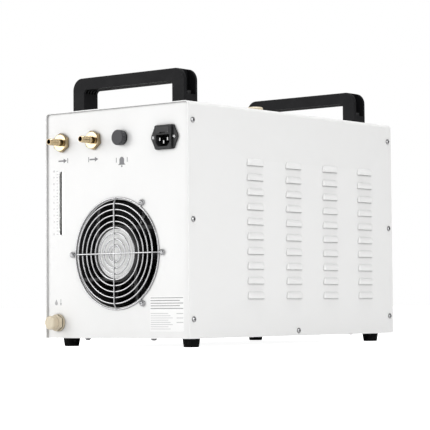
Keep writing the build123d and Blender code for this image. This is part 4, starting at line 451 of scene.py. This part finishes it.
def radiator_fins():
    half = (CORE_HIGH.x - CORE_LOW.x) / 2 - END_PLATE
    middle_x = (CORE_LOW.x + CORE_HIGH.x) / 2
    middle_y = (CORE_LOW.y + CORE_HIGH.y) / 2
    count = int(2 * half / FIN_PITCH)
    first = (middle_x - (count - 1) / 2 * FIN_PITCH, middle_y, CORE_HIGH.z - FIN_HEIGHT / 2)
    depth = CORE_HIGH.y - CORE_LOW.y
    data = row_mesh("radiator_fins", count, first, (FIN_PITCH, 0, 0), (FIN_THICKNESS, depth, FIN_HEIGHT),
                    MATERIALS["fin_metal"])
    build = bmesh.new()
    build.from_mesh(data)
    for side in (-1, 1):
        inner = middle_x + side * half
        outer = inner + side * END_PLATE
        tip = outer - side * CORE_FOOT
        add_box(build, (min(inner, outer), CORE_LOW.y, CORE_LOW.z),
                (max(inner, outer), CORE_HIGH.y, CORE_HIGH.z))
        add_box(build, (min(inner, tip), CORE_LOW.y, CORE_LOW.z),
                (max(inner, tip), CORE_HIGH.y, CORE_LOW.z + END_PLATE))
    build.to_mesh(data)
    build.free()
    fins = show("radiator_fins", data, MATERIALS["fin_metal"])
    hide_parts("radiator_core")


radiator_fins()


# Printed marks: pictograms, level scale, sticker and the fan's label

INK = finish_material("ink_grey", (0.2, 0.2, 0.21), (0.3, 0.3, 0.3), 0.5, edge=0.0, dust=0.0, strength=0.1,
                      shade=0.0)
PALE_INK = finish_material("ink_pale", (0.42, 0.42, 0.43), (0.5, 0.5, 0.5), 0.5, edge=0.0, dust=0.0,
                           strength=0.1,
                           shade=0.0)
LABEL = finish_material("label_white", (0.91, 0.91, 0.905), (0.8, 0.8, 0.8), 0.35, edge=0.0, dust=0.02,
                        strength=0.15, shade=0.2)


def pictograms():
    """Arrows for inlet, outlet and drain, and a bell for the alarm."""
    x, z = INLET_MARK[0], CASE_Z + INLET_MARK[1]
    wall = bar(0, -0.0035, 0.0011, 0.0035)
    gap = MARK_LENGTH / 2 + 0.0012
    printed("inlet_mark", [arrow(x, z, MARK_LENGTH, 0), [(x + gap + u, z + v) for u, v in wall]], INK,
            PANEL_Y)
    x, z = OUTLET_MARK[0], CASE_Z + OUTLET_MARK[1]
    printed("outlet_mark", [arrow(x, z, MARK_LENGTH, 0), [(x - gap - u, z + v) for u, v in wall]], INK,
            PANEL_Y)
    printed("alarm_mark", bell(ALARM_MARK[0], CASE_Z + ALARM_MARK[1], MARK_LENGTH), INK, PANEL_Y)
    x, z = DRAIN_MARK[0], CASE_Z + DRAIN_MARK[1]
    printed("drain_mark", [drop(x - 0.0045, z - 0.0012, 0.0027), arrow(x + 0.0045, z, 0.0095, -math.pi / 2)],
            PALE_INK, PANEL_Y)


def scale_numbers():
    """The scale's numbers as one mesh, made from text turned to face -Y."""
    build = bmesh.new()
    upright = Matrix.Rotation(math.pi / 2, 4, "X")
    for number in range(SCALE_STEPS + 1):
        text = bpy.data.curves.new("number", "FONT")
        text.body = str(number)
        text.size = NUMBER_SIZE
        text.extrude = DECAL / 2
        text.resolution_u = 3
        text.align_x = "CENTER"
        text.align_y = "CENTER"
        shown = bpy.data.objects.new("number", text)
        scene.collection.objects.link(shown)
        bpy.context.view_layer.update()
        data = bpy.data.meshes.new_from_object(shown.evaluated_get(bpy.context.evaluated_depsgraph_get()))
        place = Vector((SCALE_NUMBER_X, PANEL_Y - DECAL / 2, CASE_Z + SCALE_LOW + number * SCALE_STEP))
        data.transform(Matrix.Translation(place) @ upright)
        build.from_mesh(data)
        bpy.data.objects.remove(shown)
    data = bpy.data.meshes.new("scale_numbers")
    build.to_mesh(data)
    build.free()
    data.materials.append(PALE_INK)
    return show("scale_numbers", data, PALE_INK)


def level_scale():
    """Long ticks with numbers and a short tick between each two."""
    y = PANEL_Y - DECAL / 2
    low = CASE_Z + SCALE_LOW
    for name, count, first, length in (
        ("scale_long_ticks", SCALE_STEPS + 1, low, TICK_LENGTH),
        ("scale_short_ticks", SCALE_STEPS, low + SCALE_STEP / 2, TICK_LENGTH * 0.6),
    ):
        data = row_mesh(name, count, (SCALE_X, y, first), (0, 0, SCALE_STEP), (length, DECAL, TICK_WIDTH),
                        PALE_INK)
        show(name, data, PALE_INK)
    scale_numbers()


def sticker():
    """A plain sticker with thin rules in two blocks, and nothing to read on it."""
    outline = bar(STICKER_LEFT, CASE_Z + STICKER_LOW, STICKER_RIGHT, CASE_Z + STICKER_HIGH)
    printed("sticker", [outline], LABEL, PANEL_Y, depth=DECAL)
    face = PANEL_Y - DECAL
    left = STICKER_LEFT + STICKER_MARGIN
    right = STICKER_RIGHT - STICKER_MARGIN
    top = CASE_Z + STICKER_HIGH - 0.0025
    upper = [bar(left, top - i * WIDE_RULE_PITCH - WIDE_RULE_HEIGHT, right - (i % 2) * WIDE_RULE_SHORTER,
                 top - i * WIDE_RULE_PITCH) for i in range(WIDE_RULES)]
    printed("sticker_rules_upper", upper, INK, face)
    middle = CASE_Z + THIN_RULES_HIGH
    lower = [bar(left, middle - i * THIN_RULE_PITCH - THIN_RULE_HEIGHT,
                 left + THIN_RULE_LENGTH + (i % 3) * THIN_RULE_STEP, middle - i * THIN_RULE_PITCH)
             for i in range(THIN_RULES)]
    lower += [bar(right - 0.012, middle - i * 0.006 - 0.0007, right, middle - i * 0.006) for i in range(3)]
    printed("sticker_rules_lower", lower, PALE_INK, face)


def hub_label():
    """The fan's round label: white, with thin rings and nothing to read on it."""
    printed("hub_label", [disc(FAN_X, FAN_Z, HUB_LABEL_R)], LABEL, HUB_Y)
    rings = ring(FAN_X, FAN_Z, 0.0092, 0.0097) + ring(FAN_X, FAN_Z, 0.0325, 0.0329)
    printed("hub_rings", rings, PALE_INK, HUB_Y - DECAL)


pictograms()
level_scale()
sticker()
hub_label()


# Stage, light and camera

FLOOR_GLOW = 0.95
ROOM_LIGHT = 0.42
AZIMUTH, ELEVATION, ROLL = math.radians(39.03), math.radians(-3.72), math.radians(-0.47)
CAMERA_DISTANCE = 2.74296
AIM_FORWARD = 0.245
AIM_HEIGHT = 0.22306
CAMERA_LENS = 152.936
CAMERA_SHIFT = (-0.02335, -0.0668)

floor_material = bpy.data.materials.new("floor")
floor_material.use_nodes = True
floor_tree = floor_material.node_tree
floor_shader = floor_tree.nodes["Principled BSDF"]
floor_shader.inputs["Base Color"].default_value = (0.9, 0.9, 0.9, 1)
floor_shader.inputs["Roughness"].default_value = 0.8
floor_shader.inputs["Emission Color"].default_value = (1, 1, 1, 1)
path = floor_tree.nodes.new("ShaderNodeLightPath")
glow = floor_tree.nodes.new("ShaderNodeMath")
glow.operation = "MULTIPLY"
glow.inputs[1].default_value = FLOOR_GLOW
floor_tree.links.new(path.outputs["Is Camera Ray"], glow.inputs[0])
floor_tree.links.new(glow.outputs[0], floor_shader.inputs["Emission Strength"])
bpy.ops.mesh.primitive_plane_add(size=60, location=(0, 0, 0))
floor = bpy.context.object
floor.name = "floor"
floor.data.materials.append(floor_material)

world = bpy.data.worlds.new("studio")
scene.world = world
world.use_nodes = True
sky = world.node_tree
back = sky.nodes["Background"]
back.inputs["Color"].default_value = (1, 1, 1, 1)
sees = sky.nodes.new("ShaderNodeLightPath")
lift = sky.nodes.new("ShaderNodeMapRange")
lift.inputs["To Min"].default_value = ROOM_LIGHT
lift.inputs["To Max"].default_value = 1.0
sky.links.new(sees.outputs["Is Camera Ray"], lift.inputs["Value"])
sky.links.new(lift.outputs["Result"], back.inputs["Strength"])


def area_light(name, place, aim, size, power):
    data = bpy.data.lights.new(name, "AREA")
    data.shape = "SQUARE"
    data.size = size
    data.energy = power
    made = bpy.data.objects.new(name, data)
    scene.collection.objects.link(made)
    made.location = place
    made.rotation_mode = "QUATERNION"
    made.rotation_quaternion = (Vector(aim) - Vector(place)).to_track_quat("-Z", "Y")
    return made


area_light("key", (-1.9, -2.3, 1.0), (0, -0.1, 0.2), 2.0, 38)
area_light("fill", (2.6, -0.9, 1.1), (0, 0, 0.2), 1.8, 27)
area_light("top", (0, 0.1, 2.2), (0, 0, 0.2), 1.6, 30)

level = math.cos(ELEVATION)
away = Vector((math.sin(AZIMUTH) * level, -math.cos(AZIMUTH) * level, math.sin(ELEVATION)))
side = (-away).cross(Vector((0, 0, 1))).normalized()
over = side.cross(-away)
right = side * math.cos(ROLL) + over * math.sin(ROLL)
up = -side * math.sin(ROLL) + over * math.cos(ROLL)
camera_data = bpy.data.cameras.new("camera")
camera = bpy.data.objects.new("camera", camera_data)
scene.collection.objects.link(camera)
scene.camera = camera
place = Vector((0, EDGE_Y + AIM_FORWARD, CASE_Z + AIM_HEIGHT)) + away * CAMERA_DISTANCE
camera.matrix_world = Matrix((
    (right.x, up.x, away.x, place.x),
    (right.y, up.y, away.y, place.y),
    (right.z, up.z, away.z, place.z),
    (0, 0, 0, 1),
))
camera_data.lens = CAMERA_LENS
camera_data.sensor_width = 36
camera_data.shift_x, camera_data.shift_y = CAMERA_SHIFT
camera_data.clip_end = 100
scene.view_settings.view_transform = "Standard"
